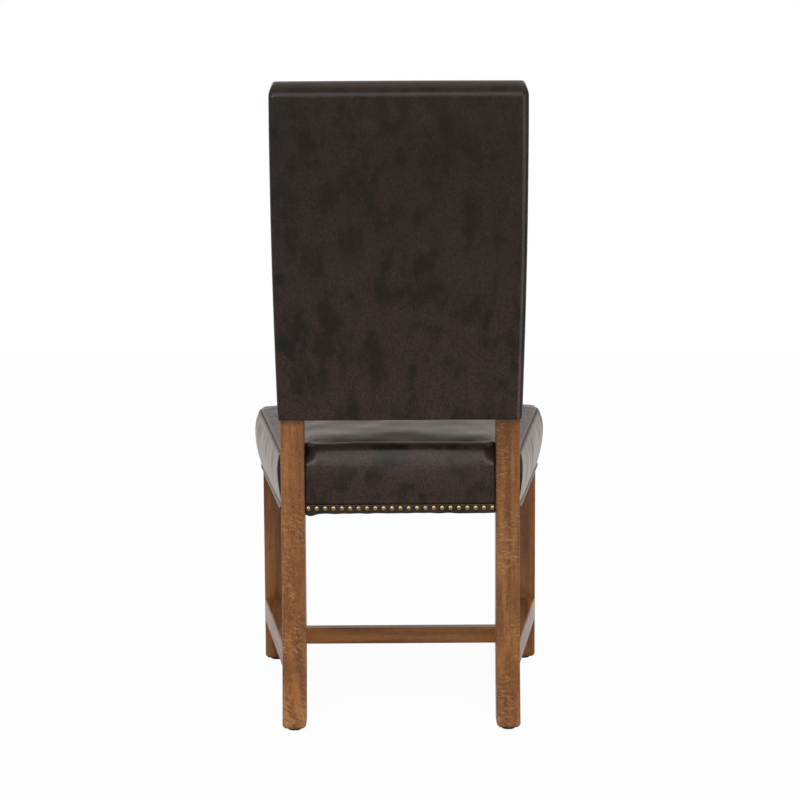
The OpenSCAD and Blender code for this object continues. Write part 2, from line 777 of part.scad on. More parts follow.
// Webbing across the front of the back frame
back_strap_n = -post_d / 2 - strap_t / 2 - 1.5 * gap;
module back_webbing() {
  span = crest_mid - lower_mid;
  pitch = back_strap_pitch;
  color("tan") at_spine((crest_mid + lower_mid) / 2) translate([0, back_strap_n, 0])
    rotate([90, 0, 0]) {
      for (j = [0:3]) translate([0, pitch * (j - 1.5), 0])
        strap(rear_span - 2 * strap_edge, -pitch, pitch, 3, j, -gap / 2);
      for (i = [0:2]) translate([pitch * (i - 1), 0, 0]) rotate(90)
        strap(span + 0.6 * lower_h, -1.5 * pitch, pitch, 4, i + 1, 0);
    }
}

// Cross-section of the back at a share u of its height, drawn in by t
function back_ring(s, t, draw, crown_now) =
  let (
    hw = back_half(s) - t - draw,
    front = -post_d / 2 - back_front + t + draw,
    rear = post_d / 2 + back_rear - t - draw,
    r = max(1, back_edge - t),
    corners = [[1, 1, 0], [-1, 1, 90], [-1, -1, 180], [1, -1, 270]],
    outline = [for (c = corners) each concat(
      [for (i = [0:3]) [
        c[0] * (hw - r) + r * cos(c[2] + 30 * i),
        (c[1] > 0 ? rear - r : front + r) + r * sin(c[2] + 30 * i)]],
      c[2] == 0 ? [for (v = [0.5, 0, -0.5]) [hw * v, rear]] : [],
      c[2] == 180 ? [for (v = [-0.75, -0.4, 0, 0.4, 0.75]) [hw * v, front]] : [],
      c[2] == 90 ? [[-hw, (front + rear) / 2]] : [],
      c[2] == 270 ? [[hw, (front + rear) / 2]] : []
    )]
  )
  [for (p = outline) let (
      v = p[0] / hw,
      swell_out = p[1] < 0 ? -crown_now * (1 - v * v) : 0
    )
    on_spine(s, p[0], p[1] + swell_out)];

// Lengths up the spine at which the back's sections are drawn
back_foot = 8;
function back_stations() = [for (u = [0:1/6:1])
  back_from + back_foot + (back_len - back_top - back_foot) * u];
// Crown of the back's front at a length s, less at its foot
function crown_at(s) = back_crown * sin(90 * min(1, 0.35 + 1.3 * (s - back_from) / back_len));
// Half-width of the back at a length s
function back_half(s) = let (u = (s - back_from) / back_len)
  post_out + back_side + back_swell * sin(180 * u) + back_flare * u;

// Rings from the back's foot over its rounded top
function back_rings(t) = concat(
  [for (s = concat([back_from], back_stations())) back_ring(s, t, 0, crown_at(s))],
  [for (a = [22.5:22.5:90])
    back_ring(back_to - back_top + (back_top - t) * sin(a), t, back_top * (1 - cos(a)),
      back_crown * cos(a) * 0.9)]
);
module back_cover() {
  outer = back_rings(0);
  inside = back_rings(hide);
  color(leather) loft(concat([for (i = [len(inside) - 1:-1:0]) inside[i]], outer));
}

module back_bottom_panel() {
  s = back_from + hide;
  edge = hide + 3 * gap;
  color(leather) translate(on_spine(s, 0, 0)) rotate([-spine_lean(s), 0, 0])
    linear_extrude(hide) difference() {
      translate([0, (back_rear - back_front) / 2])
        polygon(eased(2 * (post_out + back_side - edge), post_d + back_rear + back_front
          - 2 * edge, back_edge - edge));
      for (side = [LEFT, RIGHT]) translate([side * (post_out - post_w / 2), 0])
        square([post_w, post_d] + 2 * gap * [1, 1], center = true);
    }
}

module back_foam() {
  t = hide + 2 * gap;
  inner_n = back_strap_n - strap_t - gap;
  front = -post_d / 2 - back_front + t;
  color(inner) loft([for (s = back_stations()) let (hw = back_half(s) - t)
    [for (p = concat([[hw - gap, inner_n], [0, inner_n], [-hw + gap, inner_n]],
        [for (v = [-1, -0.93, -0.75, -0.4, 0, 0.4, 0.75, 0.93, 1]) [hw * v,
          front + (abs(v) == 1 ? back_edge + foam_round : abs(v) > 0.9 ? foam_round / 3 : 0)
            - crown_at(s) * (1 - v * v)]]))
      on_spine(s, p[0], p[1])]]);
}

module back_wadding() {
  from = bend_end + wadding_in;
  t = back_rear - hide - 2 * gap;
  color("linen") translate(on_spine(from, 0, post_d / 2 + gap)) rotate([-recline, 0, 0])
    linear_extrude(back_to - back_top - wadding_in - from) translate([0, t / 2])
      square([rear_span + 2 * (back_side - hide - back_edge), t], center = true);
}

// Floor glides: a domed disc and a nail under each foot
function foot_places() = [
  for (side = [LEFT, RIGHT]) each [
    [side * (post_out - post_w / 2), post_mid + kick],
    [side * (leg_out - leg_w / 2), leg_rear - leg_w / 2]
  ]
];
module glide_nails(grow) {
  for (p = foot_places()) translate([p[0], p[1], 0])
    cylinder(d = glide_nail_dia + 2 * grow, h = glide_h + glide_nail + grow, $fn = 24);
}
module floor_glides() {
  color("black") for (p = foot_places()) translate([p[0], p[1], 0]) {
    rotate_extrude($fn = 48) polygon([[0, 0], [glide_dia / 2 - glide_round, 0],
      [glide_dia / 2, glide_round], [glide_dia / 2, glide_h], [0, glide_h]]);
    cylinder(d = glide_nail_dia, h = glide_h + glide_nail, $fn = 24);
  }
}

rear_post(LEFT);  // rear_post_left
rear_post(RIGHT);  // rear_post_right
front_leg(LEFT);  // front_leg_left
front_leg(RIGHT);  // front_leg_right
side_stretcher(LEFT);  // side_stretcher_left
side_stretcher(RIGHT);  // side_stretcher_right
cross_stretcher();
front_seat_rail();
rear_seat_rail();
side_seat_rail(LEFT);  // side_seat_rail_left
side_seat_rail(RIGHT);  // side_seat_rail_right
corner_block(LEFT, true);  // front_corner_block_left
corner_block(RIGHT, true);  // front_corner_block_right
corner_block(LEFT, false);  // rear_corner_block_left
corner_block(RIGHT, false);  // rear_corner_block_right
corner_block_screws();
seat_webbing();
seat_foam();
seat_wadding();
seat_cover();
seat_band();
band_nails();
dust_cover();
back_rail(crest_mid, crest_h);  // crest_rail
back_rail(lower_mid, lower_h);  // lower_back_rail
back_webbing();
back_foam();
back_wadding();
back_cover();
back_bottom_panel();
floor_glides();
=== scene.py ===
"""Looks for a high-back dining chair: wood finishes, leather upholstery, nails, floor and camera.

Metres, +Z up. The construction model is loaded as a fixed frame and every piece here fits it.
"""
import functools
import math

import bpy
import numpy as np
from mathutils import Euler, Matrix, Vector


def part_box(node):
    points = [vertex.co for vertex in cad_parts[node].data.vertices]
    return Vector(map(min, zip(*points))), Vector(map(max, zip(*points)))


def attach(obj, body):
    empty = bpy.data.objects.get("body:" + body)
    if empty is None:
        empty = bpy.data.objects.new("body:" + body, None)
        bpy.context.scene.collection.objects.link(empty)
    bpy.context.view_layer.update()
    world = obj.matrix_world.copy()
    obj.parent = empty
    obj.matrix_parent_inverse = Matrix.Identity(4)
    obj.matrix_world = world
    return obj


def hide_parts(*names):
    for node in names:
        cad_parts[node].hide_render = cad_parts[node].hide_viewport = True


bl_info = {
    "name": "Padded dining chair",
    "version": (1, 0, 0),
    "blender": (4, 5, 0),
    "location": "3D View > Sidebar > Chair",
    "description": "Wood finishes and leather upholstery for a high-back dining chair",
    "category": "Object",
}

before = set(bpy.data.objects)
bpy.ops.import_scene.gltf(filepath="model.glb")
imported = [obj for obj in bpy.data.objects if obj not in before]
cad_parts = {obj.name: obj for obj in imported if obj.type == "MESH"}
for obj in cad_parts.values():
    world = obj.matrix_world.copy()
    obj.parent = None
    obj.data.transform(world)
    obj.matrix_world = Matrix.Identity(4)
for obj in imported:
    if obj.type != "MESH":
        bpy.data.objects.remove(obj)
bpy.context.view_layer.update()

# Places read from the construction model: post, leg and rails of the chair's right side
POST_LOW, POST_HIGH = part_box("rear_post_right")
LEG_LOW, LEG_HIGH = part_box("front_leg_right")
POST_IN, POST_OUT, POST_FRONT = POST_LOW.x, POST_HIGH.x, POST_LOW.y
LEG_OUT, LEG_FRONT, LEG_REAR = LEG_HIGH.x, LEG_LOW.y, LEG_HIGH.y
RAIL_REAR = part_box("rear_seat_rail")[1].y
RAIL_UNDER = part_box("side_seat_rail_right")[0].z
RAIL_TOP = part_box("rear_seat_rail")[1].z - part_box("rear_seat_rail")[0].z
SIDE_GAP = POST_FRONT - LEG_REAR
SIDE_LEAN = (LEG_OUT - POST_OUT) / SIDE_GAP
POST_DEPTH = 0.042
POST_MID = POST_FRONT + POST_DEPTH / 2
BEND_Z, BEND_R, RECLINE = 0.446, 0.5, math.radians(12)
BEND_END = BEND_R * RECLINE
SEAT_RISE = 0.01


def length(name, default, text):
    """A length that the user can change, in metres."""
    return bpy.props.FloatProperty(
        name=name, description=text, default=default, unit="LENGTH", precision=4)


def tint(name, default, text):
    """A colour that the user can change."""
    return bpy.props.FloatVectorProperty(
        name=name, description=text, default=default, size=3, min=0, max=1, subtype="COLOR")


class SeatSizes(bpy.types.PropertyGroup):
    """Sizes of the upholstered seat, over the frame's outer faces"""

    boxing_front: length("Boxing at the front", 0.112, "From the rail's underside to the seam")
    boxing_rear: length("Boxing at the posts", 0.099, "The same height beside the rear posts")
    swell_height: length("Height of the swell", 0.077, "Height of the boxing's widest line")
    swell_side: length("Swell", 0.0148, "Swell of the boxing beyond the frame")
    swell_post: length("Swell at the posts", 0.007, "Swell of the boxing beside the posts")
    swell_rear: length("Swell behind", 0.0034, "Swell of the rear face between the posts")
    ahead: length("Further swell in front", 0.002, "Extra swell of the seat's front")
    roll: length("Roll", 0.021, "Width of the rounded top edge")
    roll_rear: length("Rear roll", 0.034, "Width of the rolled rear edge")
    roll_rise: length("Rise of the roll", 0.017, "Height of the rear roll's middle over its ends")
    pull: length("Pull at the posts", 0.015, "How far the roll's ends are drawn in at the posts")
    side_low: length("Lower edge", 0.0056, "Height of the leather's edge on the sides and front")
    crown: length("Crown", 0.015, "Height of the top's middle over its edges")
    corner: length("Corner", 0.026, "Radius of the front corners")
    hide: length("Leather", 0.002, "Thickness of the leather")
    crease: length("Crease", 0.0015, "Depth of the pull along the seam")
    ripple: length("Wrinkles", 0.0007, "Depth of the sides' soft wrinkles")
    calm: length("Unevenness", 0.0006, "Unevenness of the top")
    pitch: length("Grid", 0.004, "Spacing of the seat's grid")


class BandSizes(bpy.types.PropertyGroup):
    """Sizes of the leather band and its nails"""

    height: length("Band height", 0.016, "Height of the leather band")
    thick: length("Band thickness", 0.0026, "Thickness of the folded band")
    nail: length("Nail", 0.0095, "Diameter of a nail's head")
    dome: length("Dome", 0.003, "Height of a nail's dome")
    spacing: length("Nail spacing", 0.014, "Distance between nails")


class BackSizes(bpy.types.PropertyGroup):
    """Sizes of the padded back, along and across the posts"""

    start: length("Foot of the back", 0.084, "From the post's bend to the back's foot")
    tall: length("Length", 0.556, "Length of the back along the posts")
    side: length("Beyond the posts", 0.0034, "Width beyond the posts' outer faces")
    swell: length("Swell", 0.0024, "Extra width at mid height")
    flare: length("Flare", 0.0018, "Extra width at the top")
    behind: length("Behind the posts", 0.0055, "Padding behind the posts")
    ahead: length("Before the posts", 0.03, "Padding in front of the posts")
    crown: length("Crown", 0.012, "Crown of the front face")
    edge: length("Edge", 0.007, "Radius of the vertical edges")
    top: length("Top edge", 0.016, "Height of the rounded top")
    top_rear: length("Rear top edge", 0.045, "Depth of the rounded top behind")
    top_front: length("Front top edge", 0.02, "Depth of the rounded top in front")
    top_side: length("Top corners", 0.009, "Width of the rounded top's corners")
    pillow: length("Pillow", 0.0035, "How far the rear face leans in below the rounded top")
    hide: length("Leather", 0.002, "Thickness of the leather")
    pitch: length("Grid", 0.004, "Spacing of the back's grid")


class Finishes(bpy.types.PropertyGroup):
    """Colours of the chair"""

    # The dark leather also paints the shade that darkens the back towards its top
    leather_dark: tint("Dark leather", (0.0065, 0.0052, 0.0034), "Darkest patches of the hide")
    leather_mid: tint("Leather", (0.0425, 0.0235, 0.018), "The hide's own colour")
    leather_worn: tint("Worn leather", (0.05, 0.026, 0.0145), "Rubbed veins and patches")
    wood_light: tint("Light wood", (0.26, 0.102, 0.024), "Early wood of the stained oak")
    wood_dark: tint("Dark wood", (0.115, 0.038, 0.0085), "Late wood and darker boards")
    wood_ray: tint("Ray flecks", (0.36, 0.175, 0.055), "Light flecks across the grain")
    wood_edge: tint("Edge stain", (0.07, 0.026, 0.01), "Stain gathered in pores and edges")
    brass: tint("Brass", (0.23, 0.16, 0.075), "Nail heads")
    backdrop: tint("Backdrop", (1.0, 1.0, 1.0), "Floor and background")


# Shader kit


class Value:
    """One number of a material. Arithmetic on it adds Math nodes"""

    def __init__(self, look, socket):
        self.look, self.socket = look, socket

    def _math(self, operation, *terms):
        node = self.look.node(
            "ShaderNodeMath", {"operation": operation}, dict(enumerate(terms)))
        return Value(self.look, node.outputs[0])

    def __add__(self, other):
        return self._math("ADD", self, other)

    def __sub__(self, other):
        return self._math("SUBTRACT", self, other)

    def __rsub__(self, other):
        return self._math("SUBTRACT", other, self)

    def __mul__(self, other):
        return self._math("MULTIPLY", self, other)

    def __abs__(self):
        return self._math("ABSOLUTE", self)

    __radd__ = __add__
    __rmul__ = __mul__

    def least(self, other):
        """The smaller of the two."""
        return self._math("MINIMUM", self, other)

    def most(self, other):
        """The larger of the two."""
        return self._math("MAXIMUM", self, other)

    def ramp(self, low, high):
        """Smooth step from 0 at low to 1 at high."""
        node = self.look.node(
            "ShaderNodeMapRange", {"interpolation_type": "SMOOTHSTEP"},
            {0: self, 1: low, 2: high, 3: 0.0, 4: 1.0})
        return Value(self.look, node.outputs[0])


class Look:
    """A material in the making"""

    def __init__(self, name):
        self.material = bpy.data.materials.new(name)
        self.material.use_nodes = True
        self.tree = self.material.node_tree
        self.tree.nodes.clear()

    @classmethod
    def of_tree(cls, tree):
        """The same kit for a tree that isn't a material's, such as the world's."""
        made = cls.__new__(cls)
        made.tree = tree
        tree.nodes.clear()
        return made

    def seen(self, kinds=("Camera", "Glossy", "Transmission")):
        """1 where the camera, a reflection or a clear material looks, 0 for light."""
        path = self.node("ShaderNodeLightPath")
        rays = [Value(self, path.outputs[f"Is {kind} Ray"]) for kind in kinds]
        return functools.reduce(Value.most, rays)

    def node(self, kind, settings=None, inputs=None):
        """Adds a node, sets its settings first and then its inputs, by name or place."""
        made = self.tree.nodes.new(kind)
        for key, value in (settings or {}).items():
            setattr(made, key, value)
        for key, value in (inputs or {}).items():
            socket = made.inputs[key]
            value = getattr(value, "socket", value)
            if isinstance(value, bpy.types.NodeSocket):
                self.tree.links.new(value, socket)
            else:
                if socket.type == "RGBA" and len(value) == 3:
                    value = (*value, 1)
                socket.default_value = value
        return made

    def place(self, scale=(1, 1, 1), turn=(0, 0, 0), move=(0, 0, 0)):
        """Object coordinates, scaled, turned and moved."""
        source = self.node("ShaderNodeTexCoord").outputs["Object"]
        return self.node("ShaderNodeMapping", {}, {
            "Vector": source, "Location": move, "Rotation": turn, "Scale": scale}).outputs[0]

    def attribute(self, name):
        """A number stored on the piece's points."""
        node = self.node("ShaderNodeAttribute", {"attribute_name": name})
        return Value(self, node.outputs["Fac"])

    def noise(self, at, scale, detail, rough):
        """Fractal noise about 0.5."""
        node = self.node("ShaderNodeTexNoise", {}, {
            "Vector": at, "Scale": scale, "Detail": detail, "Roughness": rough})
        return Value(self, node.outputs["Fac"])

    def cells(self, at, scale, feature="F1"):
        """Distance to the points or edges of a random mosaic of cells."""
        node = self.node("ShaderNodeTexVoronoi", {"feature": feature}, {
            "Vector": at, "Scale": scale})
        return Value(self, node.outputs["Distance"])

    def shift(self, at, by, size):
        """Moves the coordinates by a colour noise, to bend a pattern."""
        noise = self.node("ShaderNodeTexNoise", {}, {"Vector": at, "Scale": by, "Detail": 2.0})
        centred = self.node("ShaderNodeVectorMath", {"operation": "SUBTRACT"}, {
            0: noise.outputs["Color"], 1: (0.5, 0.5, 0.5)})
        scaled = self.node("ShaderNodeVectorMath", {"operation": "SCALE"}, {
            0: centred.outputs[0], "Scale": size})
        return self.node("ShaderNodeVectorMath", {"operation": "ADD"}, {
            0: at, 1: scaled.outputs[0]}).outputs[0]

    def mix(self, share, a, b):
        """Colour a where share is 0 and b where it is 1."""
        node = self.node("ShaderNodeMix", {"data_type": "RGBA"}, {0: share, 6: a, 7: b})
        return node.outputs[2]

    def bump(self, height, depth, under=None):
        """Normal of a height of 0 to 1 that stands depth metres high, over another bump."""
        inputs = {"Height": height, "Distance": depth, "Strength": 1.0}
        if under is not None:
            inputs["Normal"] = under
        return self.node("ShaderNodeBump", {}, inputs).outputs[0]

    def finish(self, colour, roughness, normal=None, metallic=0.0, **others):
        """Closes the material with a shader. others are values by the socket's name."""
        inputs = {"Base Color": colour, "Roughness": roughness, "Metallic": metallic}
        if normal is not None:
            inputs["Normal"] = normal
        inputs.update({key.replace("_", " "): value for key, value in others.items()})
        shader = self.node("ShaderNodeBsdfPrincipled", {}, inputs)
        self.node("ShaderNodeOutputMaterial", {}, {"Surface": shader.outputs[0]})
        return self.material


def leather(colours, name, seamed=False):
    """Distressed dark brown hide: cloudy dark patches, rubbed streaks and veins, a fine grain.

    It darkens with height: painted shade for the dimmer light up the back. A seamed one has a dark,
    matt line where the piece's seam attribute is near 0: painted shade in the seam's crease.
    """
    look = Look(name)
    at = look.place()
    bent = look.shift(at, 30.0, 0.012)
    tall = look.place(scale=(1.0, 1.0, 0.6))
    cloud = look.noise(look.shift(tall, 50.0, 0.01), 30.0, 5.0, 0.6)
    broad = look.noise(at, 8.0, 3.0, 0.5)
    patch = look.noise(at, 38.0, 4.0, 0.6)
    streak = look.noise(look.place(scale=(1.0, 1.0, 0.4)), 420.0, 3.0, 0.65)
    mottle = look.noise(at, 420.0, 3.0, 0.7)
    vein = 1 - look.cells(look.shift(bent, 90.0, 0.014), 46.0, "DISTANCE_TO_EDGE").ramp(0.0, 0.04)
    height = Value(look, look.node("ShaderNodeSeparateXYZ", {}, {0: at}).outputs[2])
    dark = (cloud * 0.6 + broad * 0.15 + streak * 0.25).ramp(0.52, 0.41) * 0.85
    # Painted shade: the hide darkens towards the top of the back, for the dimmer light up there
    dark = dark + (1 - dark) * height.ramp(0.45, 1.05) * 0.56
    worn = patch.ramp(0.44, 0.64) * streak.ramp(0.44, 0.66)
    colour = look.mix(dark, colours.leather_mid, colours.leather_dark)
    colour = look.mix(worn * 0.7, colour, colours.leather_worn)
    colour = look.mix(vein * broad.ramp(0.42, 0.6) * streak.ramp(0.35, 0.6) * 0.4,
                      colour, colours.leather_worn)
    fine = (mottle * 0.6 + streak * 0.4).ramp(0.44, 0.58)
    colour = look.mix(fine * 0.75, colour, colours.leather_dark)
    roughness, coat = 0.3 + cloud * 0.14 + worn * 0.08, 0.4
    if seamed:
        # Painted shade: the seam's crease is painted nearly black, with less coat and more
        # roughness
        line = 1 - abs(look.attribute("seam")).ramp(0.0008, 0.0026)
        colour = look.mix(line * 0.95, colour, (0.002, 0.0015, 0.001))
        roughness, coat = roughness + line * 0.3, (1 - line * 0.7) * 0.4
    grain = look.cells(at, 850.0).ramp(0.1, 0.6)
    normal = look.bump(grain, 0.00007)
    normal = look.bump(patch, 0.0005, normal)
    return look.finish(colour, roughness, normal, IOR=1.2, Coat_Weight=coat, Coat_IOR=1.2,
                       Coat_Roughness=0.25, Sheen_Weight=0.27, Sheen_Roughness=0.3,
                       Sheen_Tint=(1.0, 0.78, 0.62))


def oak(name, colours, along, offset, rays=1.0, tilt=0.0):
    """Stained oak. along is the axis of the grain, 0, 1 or 2; offset moves the figure.

    Bands of early and late wood run along the grain, a slow noise drawn out. Rays cross them in
    clusters, a noise drawn out across the grain and turned by tilt, with specks between; rays is
    the share of both.
    """
    look = Look(name)

    def drawn(share):
        scale = [1.0, 1.0, 1.0]
        scale[along] = share
        return look.place(scale=scale, move=offset)

    band = look.noise(drawn(0.05), 75.0, 3.0, 0.55)
    fibre = look.noise(drawn(0.04), 700.0, 2.0, 0.6)
    pores = look.noise(drawn(0.1), 500.0, 2.0, 0.6).ramp(0.6, 0.72)
    board = look.noise(drawn(0.35), 11.0, 3.0, 0.55)
    soft = look.noise(drawn(0.8), 60.0, 3.0, 0.55)
    share = (band * 0.55 + board * 0.3 + fibre * 0.15).ramp(0.38, 0.62)
    colour = look.mix(share, colours.wood_light, colours.wood_dark)
    colour = look.mix(soft.ramp(0.5, 0.75) * 0.4, colour, colours.wood_dark)
    if rays:
        wide = [0.24, 0.24, 0.24]
        wide[along] = 1.0
        turned = look.shift(look.place(turn=(0, tilt, 0), move=offset), 70.0, 0.008)
        flakes = look.noise(look.node("ShaderNodeMapping", {}, {
            "Vector": turned, "Scale": wide}).outputs[0], 400.0, 2.0, 0.55)
        specks = look.noise(drawn(1.0), 330.0, 2.0, 0.6)
        cluster = look.noise(drawn(0.5), 26.0, 2.0, 0.5).ramp(0.4, 0.58)
        pale = flakes.ramp(0.52, 0.64) * cluster + specks.ramp(0.55, 0.68) * 0.6
        deep = flakes.ramp(0.47, 0.36) * cluster + specks.ramp(0.45, 0.33) * 0.6
        colour = look.mix(pale.least(1) * rays * 0.5, colour, colours.wood_ray)
        colour = look.mix(deep.least(1) * rays * 0.45, colour, colours.wood_edge)
    colour = look.mix(pores * 0.45, colour, colours.wood_edge)
    normal = look.bump(1 - pores, 0.00015)
    return look.finish(colour, 0.42 + fibre * 0.15, normal, IOR=1.2, Coat_Weight=0.5,
                       Coat_IOR=1.4, Coat_Roughness=0.15)


def mesh_piece(name, points, faces, material, smooth=True, values=None):
    """An object at the origin from arrays of points and faces, with numbers on its points."""
    mesh = bpy.data.meshes.new(name)
    mesh.from_pydata(points.tolist(), [], faces)
    for key, numbers in (values or {}).items():
        layer = mesh.attributes.new(key, "FLOAT", "POINT")
        layer.data.foreach_set("value", numbers.astype(np.float32))
    mesh.polygons.foreach_set("use_smooth", [smooth] * len(mesh.polygons))
    mesh.materials.append(material)
    mesh.validate()
    made = bpy.data.objects.new(name, mesh)
    bpy.context.scene.collection.objects.link(made)
    return made


def tube_faces(rows, columns):
    """Faces of a grid of rows that close on themselves. Fans to two last points shut its ends."""
    row, column = np.meshgrid(np.arange(rows - 1), np.arange(columns), indexing="ij")
    beside = (column + 1) % columns
    quads = np.stack([row * columns + column, row * columns + beside,
                      (row + 1) * columns + beside, (row + 1) * columns + column], -1)
    one, two = np.arange(columns), (np.arange(columns) + 1) % columns
    last = (rows - 1) * columns
    start = np.stack([np.full(columns, rows * columns), two, one], -1)
    end = np.stack([np.full(columns, rows * columns + 1), last + one, last + two], -1)
    return quads.reshape(-1, 4).tolist() + start.tolist() + end.tolist()


def closed(grid):
    """The grid's points, and the middles of its first and last rows as two more points."""
    ends = np.stack([grid[0].mean(0), grid[-1].mean(0)])
    return np.concatenate([grid.reshape(-1, 3), ends])


def normals(grid):
    """Unit normals of a closed-row grid: the cross product of its steps along and across."""
    along = np.roll(grid, -1, 1) - np.roll(grid, 1, 1)
    across = np.gradient(grid, axis=0)
    out = np.cross(along, across)
    return out / np.maximum(np.linalg.norm(out, axis=-1, keepdims=True), 1e-12)


def ripples(u, v, seed, wave_u, wave_v, count=24):
    """Soft random waves, mostly between -1 and 1, with wavelengths near wave_u and wave_v.

    They are the sum of count sines with random directions, over the square root of count.
    """
    dice = np.random.default_rng(seed)
    total = np.zeros(np.broadcast(u, v).shape)
    for _ in range(count):
        ku, kv = dice.normal(0, 1, 2)
        total += np.sin(2 * np.pi * (u * ku / wave_u + v * kv / wave_v) + dice.uniform(0, 6.3))
    return total / math.sqrt(count)


def segment(a, b, count):
    """count points from a towards b, without b, for each level."""
    t = np.arange(count)[None, :, None] / count
    return a[:, None, :] * (1 - t) + b[:, None, :] * t


def steps(distance, pitch):
    """How many steps of about a pitch a distance takes, at least 2."""
    return max(2, round(distance / pitch))


def lift(y):
    """Height of the seat rails' underside at a depth y."""
    return RAIL_UNDER + SEAT_RISE * (POST_FRONT - y) / SIDE_GAP


def frame_side(y):
    """Half-width of the frame's outer side at a depth y: the leg, then splayed back to the post."""
    return np.where(y < LEG_REAR, LEG_OUT, POST_OUT + (POST_FRONT - y) * SIDE_LEAN)


def spine(s, x, n):
    """Point beside the reclined post: s along it from its bend, x sideways, n behind its middle."""
    lean = np.minimum(s, BEND_END) / BEND_R
    straight = np.maximum(s - BEND_END, 0)
    y = POST_MID + BEND_R * (1 - np.cos(lean)) + straight * np.sin(lean) + n * np.cos(lean)
    z = BEND_Z + BEND_R * np.sin(lean) + straight * np.cos(lean) - n * np.sin(lean)
    return np.stack(np.broadcast_arrays(x, y, z), -1)


def seat_outline(sizes, off, back, t, soft):
    """The seat's outline at each level, as levels by stations by (x, y).

    It runs from the middle of the rear round the chair's left side to the middle of the front
    and back round the right. off and back grow it beyond the frame; t draws it in, and soft is
    the share of a Gaussian blur along it that rounds its corners.
    """
    pitch, gap = sizes.pitch, 0.0004
    one = np.ones_like(off)
    rear_off = sizes.swell_post * off / sizes.swell_side

    def side(y):
        return (frame_side(y) + rear_off
                + (off - rear_off) * (POST_FRONT - y) / (POST_FRONT - LEG_FRONT) - t)

    tx = (POST_IN - gap - t) * one
    yr = RAIL_REAR + back - t
    yn = (POST_FRONT - gap - t) * one
    yf = LEG_FRONT - off - sizes.ahead + t
    r = np.maximum(0.001, sizes.corner * (0.35 + 0.65 * off / sizes.swell_side) - t)
    cx, cy = LEG_OUT + off - t - r, yf + r
    leg = LEG_REAR * one
    keys = [(0 * one, yr), (tx, yr), (tx, yn), (side(yn), yn), (side(leg), leg), (side(cy), cy)]
    keys = [np.stack(k, -1) for k in keys]
    runs = [POST_IN, RAIL_REAR - POST_FRONT, 0.045, SIDE_GAP, 0.034]
    parts = [segment(a, b, steps(run, pitch)) for a, b, run in zip(keys, keys[1:], runs)]
    arc = np.linspace(0, -np.pi / 2, 10)
    parts.append(np.stack([cx[:, None] + r[:, None] * np.cos(arc),
                           cy[:, None] + r[:, None] * np.sin(arc)], -1))
    front = segment(np.stack([cx, yf], -1), np.stack([0 * one, yf], -1),
                    steps(LEG_OUT, pitch))[:, 1:]
    parts.append(front)
    half = np.concatenate(parts, 1)
    middle = np.stack([0 * one, yf], -1)[:, None]
    other = (half * (-1, 1))[:, :0:-1]
    ring = np.concatenate([half, middle, other], 1)
    weights = np.exp(-0.5 * (np.arange(-3, 4) / 0.9) ** 2)
    blurred = sum(w * np.roll(ring, k, 1) for w, k in zip(weights, range(-3, 4))) / weights.sum()
    return (ring + (blurred - ring) * soft[:, None, None]) * (-1, 1)


def smooth(x):
    """Smooth step of x between 0 and 1: 3x squared less 2x cubed."""
    x = np.clip(x, 0, 1)
    return x * x * (3 - 2 * x)


